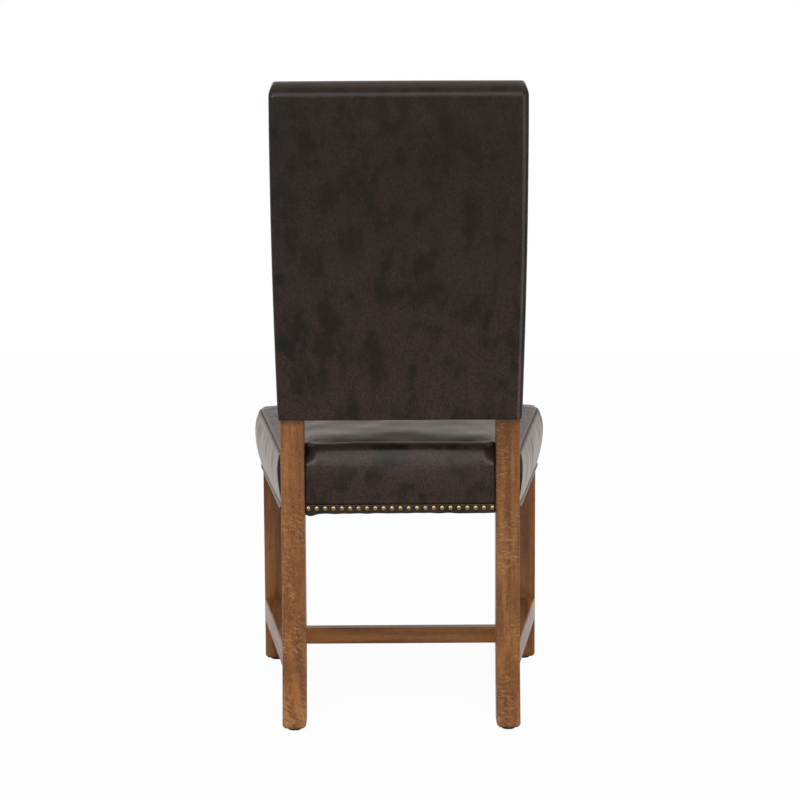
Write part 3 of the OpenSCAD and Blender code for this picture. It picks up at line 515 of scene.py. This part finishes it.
def seat_skin(sizes, t, low):
    """The seat's skin as rows of stations, the same grid of distances from the seam, and a mask.

    Going up, the side swells as a quarter sine and rolls over on an ellipse, which has the seam
    at 60 degrees. The top shrinks towards its middle while it rises as a dome. Behind, the roll
    stands higher in the middle than at the posts, where it is drawn in. The mask is 1 on the
    sides and front.
    """
    pitch = sizes.pitch
    high, wide = sizes.boxing_front, sizes.swell_side
    # Height of the hem over the rails' underside, and how far the leather stands off there
    hem, band = 0.0153, 0.0032
    # The roll turns in 24 steps, and the seam lies at the 16th
    turns, seam_turn = 24, 16
    side = np.linspace(low, sizes.swell_height, steps(sizes.swell_height - low, pitch))[:-1]
    turn = np.linspace(0, np.pi / 2, turns + 1)
    # The top's rows lie closer together near the roll
    inward = 1 - 0.985 * np.linspace(0, 1, 68)[1:] ** 1.35
    h = np.concatenate([side, sizes.swell_height
                        + (high - sizes.swell_height - t) * np.sin(turn),
                        np.full(inward.size, high - t)])
    fold = np.concatenate([0 * side, 1 - np.cos(turn), np.ones(inward.size)])
    climbed = np.clip((h - low) / (sizes.swell_height - low), 0, 1)
    off = np.where(fold > 0, wide - sizes.roll * fold,
                   band + (wide - band) * np.sin(np.pi / 2 * climbed))
    back = np.where(fold > 0, sizes.swell_rear - sizes.roll_rear * fold,
                    np.minimum(sizes.swell_rear, 0.0026 + h / 20))
    share = np.concatenate([np.ones(side.size + turn.size), inward])[:, None]
    ring = seat_outline(sizes, off, back, t, smooth(climbed * 2.5 - 1.5))
    n = ring.shape[1]
    station = np.minimum(np.arange(n), n - np.arange(n))
    inner = steps(POST_IN, pitch)
    outer = inner + steps(RAIL_REAR - POST_FRONT, pitch) + steps(0.045, pitch)
    beside = np.clip((station - outer) / 3.0, 0, 1)[None]
    middle = (ring[..., 1].max(1) + ring[..., 1].min(1))[:, None] / 2
    x, y = ring[..., 0] * share, middle + (ring[..., 1] - middle) * share
    # The rear roll stands full up to the posts, dies away forwards as a bell curve and is drawn
    # in beside the posts
    forward = np.maximum(RAIL_REAR - y, 0)
    full = (1 - smooth((np.abs(x) - POST_IN) / 0.05)) * (1 - 0.12 * (x / POST_IN) ** 2)
    full = full * np.exp(-(forward / 0.13) ** 2)
    reach = (station <= inner + 1) * (1 - smooth((POST_IN - np.abs(ring[..., 0])) / 0.02))
    drawn = reach * smooth((h[:, None] - 0.08) / 0.02) * np.clip(share * 11 - 10, 0, 1)
    y = y - sizes.pull * drawn
    top = (sizes.boxing_rear + (high - sizes.boxing_rear)
           * np.clip((POST_FRONT - y) / SIDE_GAP, 0, 1) + sizes.roll_rise * full)
    level = h[:, None] + (sizes.side_low - low) * beside * (1 - climbed)[:, None]
    up = np.where(level < hem, level, hem + (level - hem) * (top - hem) / (high - hem))
    deep = (ring[..., 1].max(1) - ring[..., 1].min(1))[:, None] / 2
    across, along = x / (frame_side(y) + off[:, None]), (y - middle) / deep
    dome = np.clip(1 - across ** 2, 0, 1) * np.clip(1 - along ** 2, 0, 1)
    rim = np.clip((1 - share) / 0.3, 0, 1)
    grid = np.stack([x, y, lift(y) + up + sizes.crown * dome * rim * (2 - rim)], -1)
    # Over the posts the leather is slit, down to the rails' tops only
    slit = (station > inner) & (station < outer - 1)
    floor = RAIL_UNDER + RAIL_TOP + 0.002 + h[:, None] / 100
    grid[..., 2] = np.where(slit[None, :], np.maximum(grid[..., 2], floor), grid[..., 2])
    gaps = np.linalg.norm(np.diff(grid, axis=0), axis=-1)
    climb = np.concatenate([np.zeros((1, n)), np.cumsum(gaps, 0)])
    return grid, climb - climb[side.size + seam_turn], beside


def back_half(sizes, s):
    """Half-width of the back at a length s: the posts, the padding, a sine swell and a flare."""
    up = (s - sizes.start) / sizes.tall
    return POST_OUT + sizes.side + sizes.swell * np.sin(np.pi * up) + sizes.flare * up


def back_section(sizes, s, t, draw, crown):
    """The back's cross-sections at lengths s, drawn in by t, as points on the spine.

    draw is the share of the rounded top's depths and width by which they are drawn in as well.
    Each is a rectangle with rounded corners whose front swells by crown as a parabola.
    """
    pitch = sizes.pitch
    half = back_half(sizes, s) - t - draw * sizes.top_side
    front = -POST_DEPTH / 2 - sizes.ahead + t + draw * sizes.top_front
    near = smooth((s - sizes.start - sizes.tall + 0.075) / 0.06)
    rear = POST_DEPTH / 2 + sizes.behind - t - draw * sizes.top_rear - near * sizes.pillow
    r = (sizes.edge - t) * (1 - 0.6 * draw)
    wide, deep = steps(2 * POST_OUT, pitch), steps(POST_DEPTH + 0.02, pitch)
    arc = np.radians(np.arange(0, 90, 18))
    flat = np.linspace(1, -1, wide + 1)
    parts = []
    for sx, sn, turn in ((1, 1, 0), (-1, 1, 90), (-1, -1, 180), (1, -1, 270)):
        angle = arc + math.radians(turn)
        edge = rear if sn > 0 else front
        parts.append(np.stack([
            sx * (half - r)[:, None] + r[:, None] * np.cos(angle),
            (edge - sn * r)[:, None] + r[:, None] * np.sin(angle)], -1))
        if turn in (0, 180):
            x = (half - r)[:, None] * flat * sx
            parts.append(np.stack([x, np.broadcast_to(edge[:, None], x.shape)], -1))
        else:
            n = np.linspace(0, 1, deep + 1)[None]
            a = (rear - r if sx < 0 else front + r)[:, None]
            b = (front + r if sx < 0 else rear - r)[:, None]
            y = a + (b - a) * n
            parts.append(np.stack([np.broadcast_to(sx * half[:, None], y.shape), y], -1))
    ring = np.concatenate(parts, 1)
    v = ring[..., 0] / half[:, None]
    swell = np.where(ring[..., 1] < 0, -crown[:, None] * (1 - v ** 2), 0)
    return spine(s[:, None], ring[..., 0], ring[..., 1] + swell)


def back_skin(sizes, t):
    """The back's skin from its foot over its rounded top to the middle of the top.

    The top turns as a quarter ellipse, and the front's crown grows from the foot as a sine.
    """
    end = sizes.start + sizes.tall - sizes.top
    body = np.linspace(sizes.start, end, steps(sizes.tall, sizes.pitch))
    turn = np.linspace(0, np.pi / 2, 13)[1:]
    s = np.concatenate([body, end + (sizes.top - t) * np.sin(turn)])
    draw = np.concatenate([0 * body, 1 - np.cos(turn)])
    rise = np.sin(np.pi / 2 * np.minimum(1, 0.35 + 1.3 * (s - sizes.start) / sizes.tall))
    crown = sizes.crown * rise * np.concatenate([np.ones(body.size), np.cos(turn) * 0.9])
    grid = back_section(sizes, s, t, draw, crown)
    share = np.linspace(1, 0, 8)[1:-1, None, None]
    middle = grid[-1].mean(0)
    return np.concatenate([grid, middle + (grid[-1] - middle) * share])


def blown(grid, held, half_held, pressure, excess, cap):
    """How far each point of a skin moves when it is blown up as cloth over its stuffing.

    Every second point becomes a cloth whose springs are longer than the form by excess. It stays
    fixed where held is true and is half fixed where half_held is, and pressure drives it outwards
    for 20 frames. The way d of a point becomes cap times tanh(d / cap), is blurred twice along
    the rows, and points between take linear means.
    """
    rows, columns = grid.shape[:2]
    frames = 20
    lines, posts = np.append(np.arange(0, rows - 1, 2), rows - 1), np.arange(0, columns, 2)
    coarse = grid[lines][:, posts]
    points = closed(coarse)
    piece = mesh_piece("leather_trial", points, tube_faces(len(lines), len(posts)), None)
    group = piece.vertex_groups.new(name="hold")
    for mask, weight in ((half_held, 0.5), (held, 1.0)):
        group.add(np.flatnonzero(mask[lines][:, posts]).tolist(), weight, "REPLACE")
    group.add([len(points) - 2], 1.0, "REPLACE")
    cloth = piece.modifiers.new("leather", "CLOTH")
    cloth.settings.quality = 5
    cloth.settings.tension_stiffness = cloth.settings.compression_stiffness = 20
    cloth.settings.bending_stiffness = 1.5
    cloth.settings.use_pressure = True
    cloth.settings.uniform_pressure_force = pressure
    cloth.settings.shrink_min = -excess
    cloth.settings.effector_weights.gravity = 0
    cloth.settings.vertex_group_mass = "hold"
    cloth.collision_settings.use_collision = False
    cloth.point_cache.frame_end = frames
    for moment in range(1, frames + 1):
        bpy.context.scene.frame_set(moment)
    shape = piece.evaluated_get(bpy.context.evaluated_depsgraph_get())
    moved = np.empty(len(points) * 3)
    shape.data.vertices.foreach_get("co", moved)
    bpy.context.scene.frame_set(1)
    bpy.data.meshes.remove(piece.data)
    way = (moved.reshape(-1, 3) - points)[:-2].reshape(coarse.shape)
    far = np.linalg.norm(way, axis=-1, keepdims=True)
    way = way * cap * np.tanh(far / cap) / np.maximum(far, 1e-9)
    for _ in range(2):
        way = way / 2 + (np.roll(way, 1, 1) + np.roll(way, -1, 1)) / 4
    at = np.interp(np.arange(rows), lines, np.arange(len(lines)))
    low = np.minimum(at.astype(int), len(lines) - 2)
    part = (at - low)[:, None, None]
    way = way[low] * (1 - part) + way[low + 1] * part
    at = np.arange(columns) / 2
    low, part = at.astype(int), (at % 1)[None, :, None]
    return way[:, low] * (1 - part) + way[:, (low + 1) % len(posts)] * part


def settle(piece, slot, *nodes):
    """Gives a new piece its body and hides the nodes that it stands for; slot is not used."""
    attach(piece, "root")
    if nodes:
        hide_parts(*nodes)
    return piece


def hide_material():
    """The leather of the back and the band, made once."""
    name = "distressed_leather"
    return bpy.data.materials.get(name) or leather(bpy.context.scene.chair_finishes, name)


def copy_node(node, name):
    """A merged copy of a construction node's mesh, at the origin."""
    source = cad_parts[node]
    mesh = source.data.copy()
    mesh.name = name
    made = bpy.data.objects.new(name, mesh)
    bpy.context.scene.collection.objects.link(made)
    weld = made.modifiers.new("merge", "WELD")
    weld.merge_threshold = 1e-5
    apply_modifiers(made)
    return made


def apply_modifiers(piece):
    """Bakes the piece's modifiers into its mesh."""
    graph = bpy.context.evaluated_depsgraph_get()
    mesh = bpy.data.meshes.new_from_object(piece.evaluated_get(graph))
    piece.modifiers.clear()
    piece.data = mesh


class CHAIR_OT_wood(bpy.types.Operator):
    """Stains the posts, legs, stretchers and rails"""

    bl_idname = "chair.wood"
    bl_label = "Wood"

    def execute(self, context):
        colours = context.scene.chair_finishes
        show = {
            "rear_post_left": (2, (0.3, 0.1, 0.0), 1.0, 0.0),
            "rear_post_right": (2, (1.3, 0.4, 0.2), 1.0, 0.5),
            "front_leg_left": (2, (2.1, 0.7, 0.4), 0.15),
            "front_leg_right": (2, (2.9, 0.2, 0.6), 0.15),
            "side_stretcher_left": (1, (3.3, 0.5, 0.1), 0.15),
            "side_stretcher_right": (1, (4.1, 0.6, 0.3), 0.15),
            "cross_stretcher": (0, (5.2, 0.8, 0.5), 0.15),
        }
        for node, figure in show.items():
            dress(node, oak("oak_" + node, colours, *figure))
        plain = planed_wood()
        for node in ("front_seat_rail", "rear_seat_rail", "side_seat_rail_left",
                     "side_seat_rail_right", "front_corner_block_left",
                     "front_corner_block_right", "rear_corner_block_left",
                     "rear_corner_block_right", "crest_rail", "lower_back_rail"):
            dress(node, plain)
        return {"FINISHED"}


def dress(node, material):
    """Puts a material on a construction node."""
    coat(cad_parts[node], material)


def coat(piece, material):
    """Makes a material the piece's only one."""
    piece.data.materials.clear()
    piece.data.materials.append(material)


def planed_wood():
    """Raw planed timber of the hidden rails and blocks."""
    look = Look("planed_wood")
    at = look.place(scale=(0.3, 0.6, 1.0))
    grain = look.noise(at, 220.0, 3.0, 0.6)
    colour = look.mix(grain.ramp(0.3, 0.7), (0.55, 0.38, 0.2), (0.4, 0.25, 0.12))
    return look.finish(colour, 0.6 + grain * 0.15, look.bump(grain, 0.0001))


class CHAIR_OT_fittings(bpy.types.Operator):
    """Finishes the glides and the corner block screws"""

    bl_idname = "chair.fittings"
    bl_label = "Glides and screws"

    def execute(self, context):
        look = Look("glide_plastic")
        wear = look.noise(look.place(), 300.0, 3.0, 0.6)
        colour = look.mix(wear.ramp(0.4, 0.7), (0.012, 0.012, 0.012), (0.03, 0.029, 0.028))
        dress("floor_glides", look.finish(colour, 0.5 + wear * 0.2, look.bump(wear, 0.0001)))
        look = Look("screw_zinc")
        wear = look.noise(look.place(), 500.0, 2.0, 0.5)
        colour = look.mix(wear, (0.6, 0.6, 0.62), (0.45, 0.45, 0.46))
        dress("corner_block_screws", look.finish(colour, 0.3 + wear * 0.2, None, 1.0))
        return {"FINISHED"}


class CHAIR_OT_seat(bpy.types.Operator):
    """Upholsters the boxed seat in leather"""

    bl_idname = "chair.seat"
    bl_label = "Seat"

    def execute(self, context):
        sizes = context.scene.chair_seat
        low = 0.0152
        outside, seam, beside = seat_skin(sizes, 0.0, low)
        n = outside.shape[1]
        around = np.concatenate([[0], np.cumsum(
            np.linalg.norm(np.diff(outside[12], axis=0), axis=-1))])[None]
        edge = np.clip((seam - seam[0]) / 0.02, 0, 1)
        groove = np.exp(-(seam / 0.0026) ** 2) * sizes.crease
        ridge = np.exp(-((seam + 0.006) / 0.003) ** 2) * sizes.crease / 2
        wave = ripples(around, seam, 7, 0.075, 0.3) * np.clip(-seam / 0.03, 0, 1)
        uneven = ripples(outside[..., 0], outside[..., 1], 11, 0.14, 0.14)
        shift = ((sizes.ripple * wave * edge - groove + ridge) * beside
                 + sizes.calm * uneven * np.clip(seam / 0.03, 0, 1))
        # The leather is nailed at its hem and slit beside the posts; the seam holds it by half
        slit = (outside[..., 1] < RAIL_REAR - 0.004) & (beside < 0.5)
        held = (seam < seam[0] + 0.012) | slit & (seam < 0.02)
        way = blown(outside, held, (np.abs(seam) < 0.002) & ~held,
                    pressure=3.0, excess=0.001, cap=0.0035)
        # Its puckers stay near the seam, and the middle of the top moves as one
        inner = smooth((seam - 0.031) / 0.06)[..., None]
        rise = way[..., 2][(seam > 0.055) & (seam < 0.105)].mean()
        way = way + ((0, 0, rise) - way) * inner
        outside = outside + way + normals(outside) * shift[..., None]
        inside = seat_skin(sizes, sizes.hide, low)[0] + way
        rows = np.r_[0:inside.shape[0] - 1:4, inside.shape[0] - 1]
        grid = np.concatenate([inside[rows][::-1], outside])
        marks = np.concatenate([np.ones((rows.size, n)), np.where(beside > 0.5, seam, 1.0)])
        values = {"seam": np.append(marks.ravel(), [1.0, 1.0])}
        piece = mesh_piece("seat_leather", closed(grid), tube_faces(len(grid), n),
                           leather(context.scene.chair_finishes, "seat_leather", True),
                           values=values)
        settle(piece, "leather", "seat_cover", "seat_foam", "seat_wadding")
        return {"FINISHED"}


class CHAIR_OT_back(bpy.types.Operator):
    """Upholsters the back in leather and closes its foot"""

    bl_idname = "chair.back"
    bl_label = "Back"

    def execute(self, context):
        sizes = context.scene.chair_back
        outside, inside = back_skin(sizes, 0.0), back_skin(sizes, sizes.hide)
        rows = np.r_[0:inside.shape[0] - 1:5, inside.shape[0] - 1]
        grid = np.concatenate([inside[rows][::-1], outside])
        piece = mesh_piece("back_leather", closed(grid), tube_faces(len(grid), grid.shape[1]),
                           hide_material())
        settle(piece, "leather", "back_cover", "back_foam", "back_wadding")
        panel = copy_node("back_bottom_panel", "back_foot_leather")
        coat(panel, hide_material())
        settle(panel, "leather", "back_bottom_panel")
        return {"FINISHED"}


def band_path(out, pitch):
    """Line of the frame's outer faces from the right post round the front to the left post."""
    lean = math.cos(math.atan(SIDE_LEAN))
    half = [(POST_OUT + out / lean, POST_FRONT - 0.0004), (LEG_OUT + out, LEG_REAR),
            (LEG_OUT + out, LEG_FRONT - out)]
    keys = np.array(half + [(-x, y) for x, y in half[::-1]])
    runs = np.linalg.norm(np.diff(keys, axis=0), axis=1)
    place = np.concatenate([[0], np.cumsum(runs)])
    at = np.linspace(0, place[-1], steps(place[-1], pitch))
    return np.stack([np.interp(at, place, keys[:, k]) for k in (0, 1)], -1)


def band_strip(name, line, out, material, sizes, base, profile, sag=0.0):
    """A folded strip of leather carried along a line in plan, with a wavy lower edge.

    profile gives its section as shares of the thickness and heights over base; sag is how far
    its lower edge droops near its start, as a bell curve.
    """
    run = np.concatenate([[0], np.cumsum(np.linalg.norm(np.diff(line, axis=0), axis=1))])
    wave = 0.0005 * ripples(run, 0 * run, 5, 0.05, 1.0)
    wave = wave - sag * np.exp(-((run - 0.009) / 0.009) ** 2)
    z = base[:, None] + profile[None, :, 1] + wave[:, None] * (profile[None, :, 1] < 0.002)
    place = line[:, None, :] + out[:, None, :] * (profile[None, :, 0] * sizes.thick)[..., None]
    grid = np.concatenate([place, z[..., None]], -1)
    return mesh_piece(name, closed(grid), tube_faces(*grid.shape[:2]), material)


class CHAIR_OT_band(bpy.types.Operator):
    """Lays the leather band along the rails"""

    bl_idname = "chair.band"
    bl_label = "Leather band"

    def execute(self, context):
        sizes = context.scene.chair_band
        x = np.linspace(POST_IN - 0.0003, -POST_IN + 0.0003, 120)
        rear = np.stack([x, np.full(x.size, RAIL_REAR + 0.0001)], -1)
        out = np.tile([0.0, 1.0], (x.size, 1))
        piece = band_strip("rear_band", rear, out, hide_material(), sizes,
                           np.full(x.size, float(lift(RAIL_REAR))), np.array([
                               (0, -0.001), (0.7, -0.0014), (1, 0.0002), (1.05, 0.004),
                               (1.05, 0.0105), (0.95, 0.013), (0.7, 0.014), (0.4, 0.0144),
                               (0.4, 0.0185), (0, 0.0185)])[::-1], 0.004)
        settle(piece, "leather", "seat_band")
        line = band_path(0.0001, 0.004)
        way = np.gradient(line, axis=0)
        out = np.stack([-way[:, 1], way[:, 0]], -1)
        out /= np.linalg.norm(out, axis=1, keepdims=True)
        lip = np.array([(0, -0.001), (0.9, -0.0013), (1.5, -0.0002), (1.7, 0.0016),
                        (1.55, 0.0034), (1.0, 0.0045), (0.4, 0.0048), (0.4, 0.0085), (0, 0.0085)])
        piece = band_strip("side_band", line, out, hide_material(), sizes, lift(line[:, 1]), lip)
        settle(piece, "leather")
        return {"FINISHED"}


def nail_places(sizes):
    """Middles of the nails: evenly spaced between the posts, on the rear band."""
    run = 2 * POST_IN - sizes.nail - 0.002
    count = math.floor(run / sizes.spacing)
    x = run * (np.arange(count + 1) / count - 0.5)
    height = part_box("rear_seat_rail")[0].z + (sizes.height - 0.001) / 2
    return np.stack([x, np.full(x.size, RAIL_REAR + sizes.thick), np.full(x.size, height)], -1)


class CHAIR_OT_nails(bpy.types.Operator):
    """Sets the domed nails in the band"""

    bl_idname = "chair.nails"
    bl_label = "Nails"

    def execute(self, context):
        sizes = context.scene.chair_band
        place = nail_places(sizes)
        radius, around = sizes.nail / 2, 16
        # Rings of the dome: a quarter ellipse over a short skirt that enters the band
        rise = np.radians([0, 16, 34, 52, 70])
        r = np.concatenate([[0.86], np.cos(rise)]) * radius
        h = np.concatenate([[-0.0006], np.sin(rise) * sizes.dome])
        turn = np.arange(around) * 2 * np.pi / around
        flat = np.stack([-np.cos(turn), 0 * turn, np.sin(turn)], -1)
        one = r[:, None, None] * flat + h[:, None, None] * np.array([0.0, 1.0, 0.0])
        tips = np.array([[0, h[0], 0], [0, sizes.dome, 0]])
        one = np.concatenate([one.reshape(-1, 3), tips])
        points = (place[:, None] + one).reshape(-1, 3)
        faces = tube_faces(r.size, around)
        faces = [[i + k * len(one) for i in face] for k in range(len(place)) for face in faces]
        height = np.concatenate([np.repeat(np.sin(np.concatenate([[0], rise])), around), [0, 1]])
        piece = mesh_piece("brass_nails", points, faces, brass(context.scene.chair_finishes),
                           values={"rise": np.tile(height, len(place))})
        settle(piece, "nail_brass", "band_nails")
        return {"FINISHED"}


def brass(colours):
    """Antiqued brass with dark spots; the dome darkens towards its rim as painted shade."""
    look = Look("antiqued_brass_painted_shade")
    rise = look.attribute("rise")
    spot = look.noise(look.place(), 700.0, 3.0, 0.6)
    # Painted shade: the dome's lower rings darken towards the rim; the spots are patina
    dark = (1 - rise.ramp(0.2, 0.85)) * 0.9 + spot.ramp(0.45, 0.7) * 0.45
    colour = look.mix(dark.least(1.0), colours.brass, (0.045, 0.03, 0.015))
    return look.finish(colour, 0.28 + spot * 0.16, look.bump(spot, 0.00008), 1.0)


class CHAIR_OT_linings(bpy.types.Operator):
    """Makes the webbing and the dust cover"""

    bl_idname = "chair.linings"
    bl_label = "Webbing and dust cover"

    def execute(self, context):
        look = Look("jute_webbing")
        at = look.place()
        warp = look.node("ShaderNodeTexWave", {"bands_direction": "X"}, {
            "Vector": at, "Scale": 160.0}).outputs["Fac"]
        weft = look.node("ShaderNodeTexWave", {"bands_direction": "Y"}, {
            "Vector": at, "Scale": 160.0}).outputs["Fac"]
        weave = Value(look, warp) * Value(look, weft)
        colour = look.mix(weave, (0.3, 0.22, 0.12), (0.52, 0.42, 0.26))
        jute = look.finish(colour, 0.85, look.bump(weave, 0.0004))
        for node, name in (("seat_webbing", "seat_straps"), ("back_webbing", "back_straps")):
            piece = copy_node(node, name)
            coat(piece, jute)
            settle(piece, "webbing", node)
        look = Look("dust_cloth")
        fibre = look.noise(look.place(), 1200.0, 3.0, 0.7)
        colour = look.mix(fibre.ramp(0.35, 0.7), (0.012, 0.012, 0.013), (0.035, 0.035, 0.037))
        piece = copy_node("dust_cover", "dust_cloth")
        coat(piece, look.finish(colour, 0.9, look.bump(fibre, 0.0003)))
        settle(piece, "dust_cloth", "dust_cover")
        return {"FINISHED"}


class CHAIR_OT_stage(bpy.types.Operator):
    """Sets up the pale floor, the soft lights and the camera"""

    bl_idname = "chair.stage"
    bl_label = "Floor, light and camera"

    def execute(self, context):
        scene = context.scene
        scene.view_settings.view_transform = "Standard"
        colour = tuple(scene.chair_finishes.backdrop)
        world = bpy.data.worlds.new("soft_white")
        scene.world = world
        world.use_nodes = True
        sky = Look.of_tree(world.node_tree)
        way = sky.node("ShaderNodeTexCoord").outputs["Generated"]
        apart = sky.node("ShaderNodeSeparateXYZ", {}, {0: way})
        side, back, up = (Value(sky, apart.outputs[k]) for k in range(3))
        high = up - abs(side) * 0.7
        gloss = (1 - high.ramp(0.12, 0.42) * 0.75) * (1 - back.ramp(-0.2, 0.6) * 0.4)
        soft = 0.25 + up.ramp(0, 0.7) * 0.3
        mirror = sky.seen(("Glossy",))
        level = sky.seen().least(1 - mirror).most(
            mirror * gloss * (0.85 + side.ramp(-0.5, 0.5) * 0.15)).most((1 - mirror) * soft)
        tone = sky.mix(mirror, colour, (1.0, 0.96, 0.92))
        light = sky.node("ShaderNodeBackground", {}, {"Color": tone, "Strength": level})
        sky.node("ShaderNodeOutputWorld", {}, {"Surface": light.outputs[0]})

        look = Look("pale_floor")
        matt = look.node("ShaderNodeBsdfDiffuse", {}, {"Color": (0.7, 0.7, 0.7)})
        glow = look.node("ShaderNodeEmission", {}, {"Color": colour, "Strength": 1.0})
        both = look.node("ShaderNodeMixShader", {}, {
            0: look.seen(("Camera",)) * 0.95, 1: matt.outputs[0], 2: glow.outputs[0]})
        look.node("ShaderNodeOutputMaterial", {}, {"Surface": both.outputs[0]})
        edge = 6.0 * np.array([(-1, -1, 0), (1, -1, 0), (1, 1, 0), (-1, 1, 0)])
        floor = mesh_piece("floor", edge, [[0, 1, 2, 3]], look.material, smooth=False)

        for name, side, power in (("left_softbox", 1, 85), ("right_softbox", -1, 60)):
            box = lamp(name, (side * 1.5, 2.9, 1.75), (0.0, 0.2, 0.6), 1.3, 0.9, power)
            box.visible_diffuse = False
        sun = bpy.data.lights.new("high_light", "SUN")
        sun.energy, sun.angle = 2.9, math.radians(55)
        above = bpy.data.objects.new("high_light", sun)
        scene.collection.objects.link(above)
        above.rotation_euler = (math.radians(-36), 0, 0)

        camera = bpy.data.objects.new("camera", bpy.data.cameras.new("camera"))
        scene.collection.objects.link(camera)
        camera.data.lens, camera.data.sensor_width = 88.7, 36
        camera.data.clip_end = 50
        yaw, pitch, roll = math.radians(0.22), math.radians(7.23), math.radians(-0.28)
        reach = 3.2194
        camera.location = (reach * math.sin(yaw), 0.223 + reach * math.cos(yaw), 0.9708)
        turn = Euler((math.pi / 2 - pitch, 0, math.pi - yaw)).to_matrix()
        camera.rotation_euler = (turn @ Matrix.Rotation(roll, 3, "Z")).to_euler()
        scene.camera = camera
        return {"FINISHED"}


def lamp(name, place, aim, wide, high, power):
    """A rectangular softbox that faces a point."""
    light = bpy.data.lights.new(name, "AREA")
    light.shape, light.size, light.size_y, light.energy = "RECTANGLE", wide, high, power
    made = bpy.data.objects.new(name, light)
    bpy.context.scene.collection.objects.link(made)
    made.location = place
    made.rotation_euler = (Vector(aim) - Vector(place)).to_track_quat("-Z", "Y").to_euler()
    return made


OPERATORS = (CHAIR_OT_wood, CHAIR_OT_fittings, CHAIR_OT_seat, CHAIR_OT_back, CHAIR_OT_band,
             CHAIR_OT_nails, CHAIR_OT_linings, CHAIR_OT_stage)
GROUPS = {"chair_seat": SeatSizes, "chair_band": BandSizes, "chair_back": BackSizes,
          "chair_finishes": Finishes}


class CHAIR_PT_panel(bpy.types.Panel):
    """The chair's operators and sizes"""

    bl_label = "Dining chair"
    bl_space_type = "VIEW_3D"
    bl_region_type = "UI"
    bl_category = "Chair"

    def draw(self, context):
        for operator in OPERATORS:
            self.layout.operator(operator.bl_idname)
        for name, group in GROUPS.items():
            box = self.layout.box()
            for key in group.__annotations__:
                box.prop(getattr(context.scene, name), key)


def register():
    for cls in (*GROUPS.values(), *OPERATORS, CHAIR_PT_panel):
        bpy.utils.register_class(cls)
    for name, group in GROUPS.items():
        setattr(bpy.types.Scene, name, bpy.props.PointerProperty(type=group))


def unregister():
    for name in GROUPS:
        delattr(bpy.types.Scene, name)
    for cls in (CHAIR_PT_panel, *OPERATORS[::-1], *GROUPS.values()):
        bpy.utils.unregister_class(cls)


def main():
    register()
    for operator in OPERATORS:
        area, name = operator.bl_idname.split(".")
        getattr(getattr(bpy.ops, area), name)()


if __name__ == "__main__":
    main()
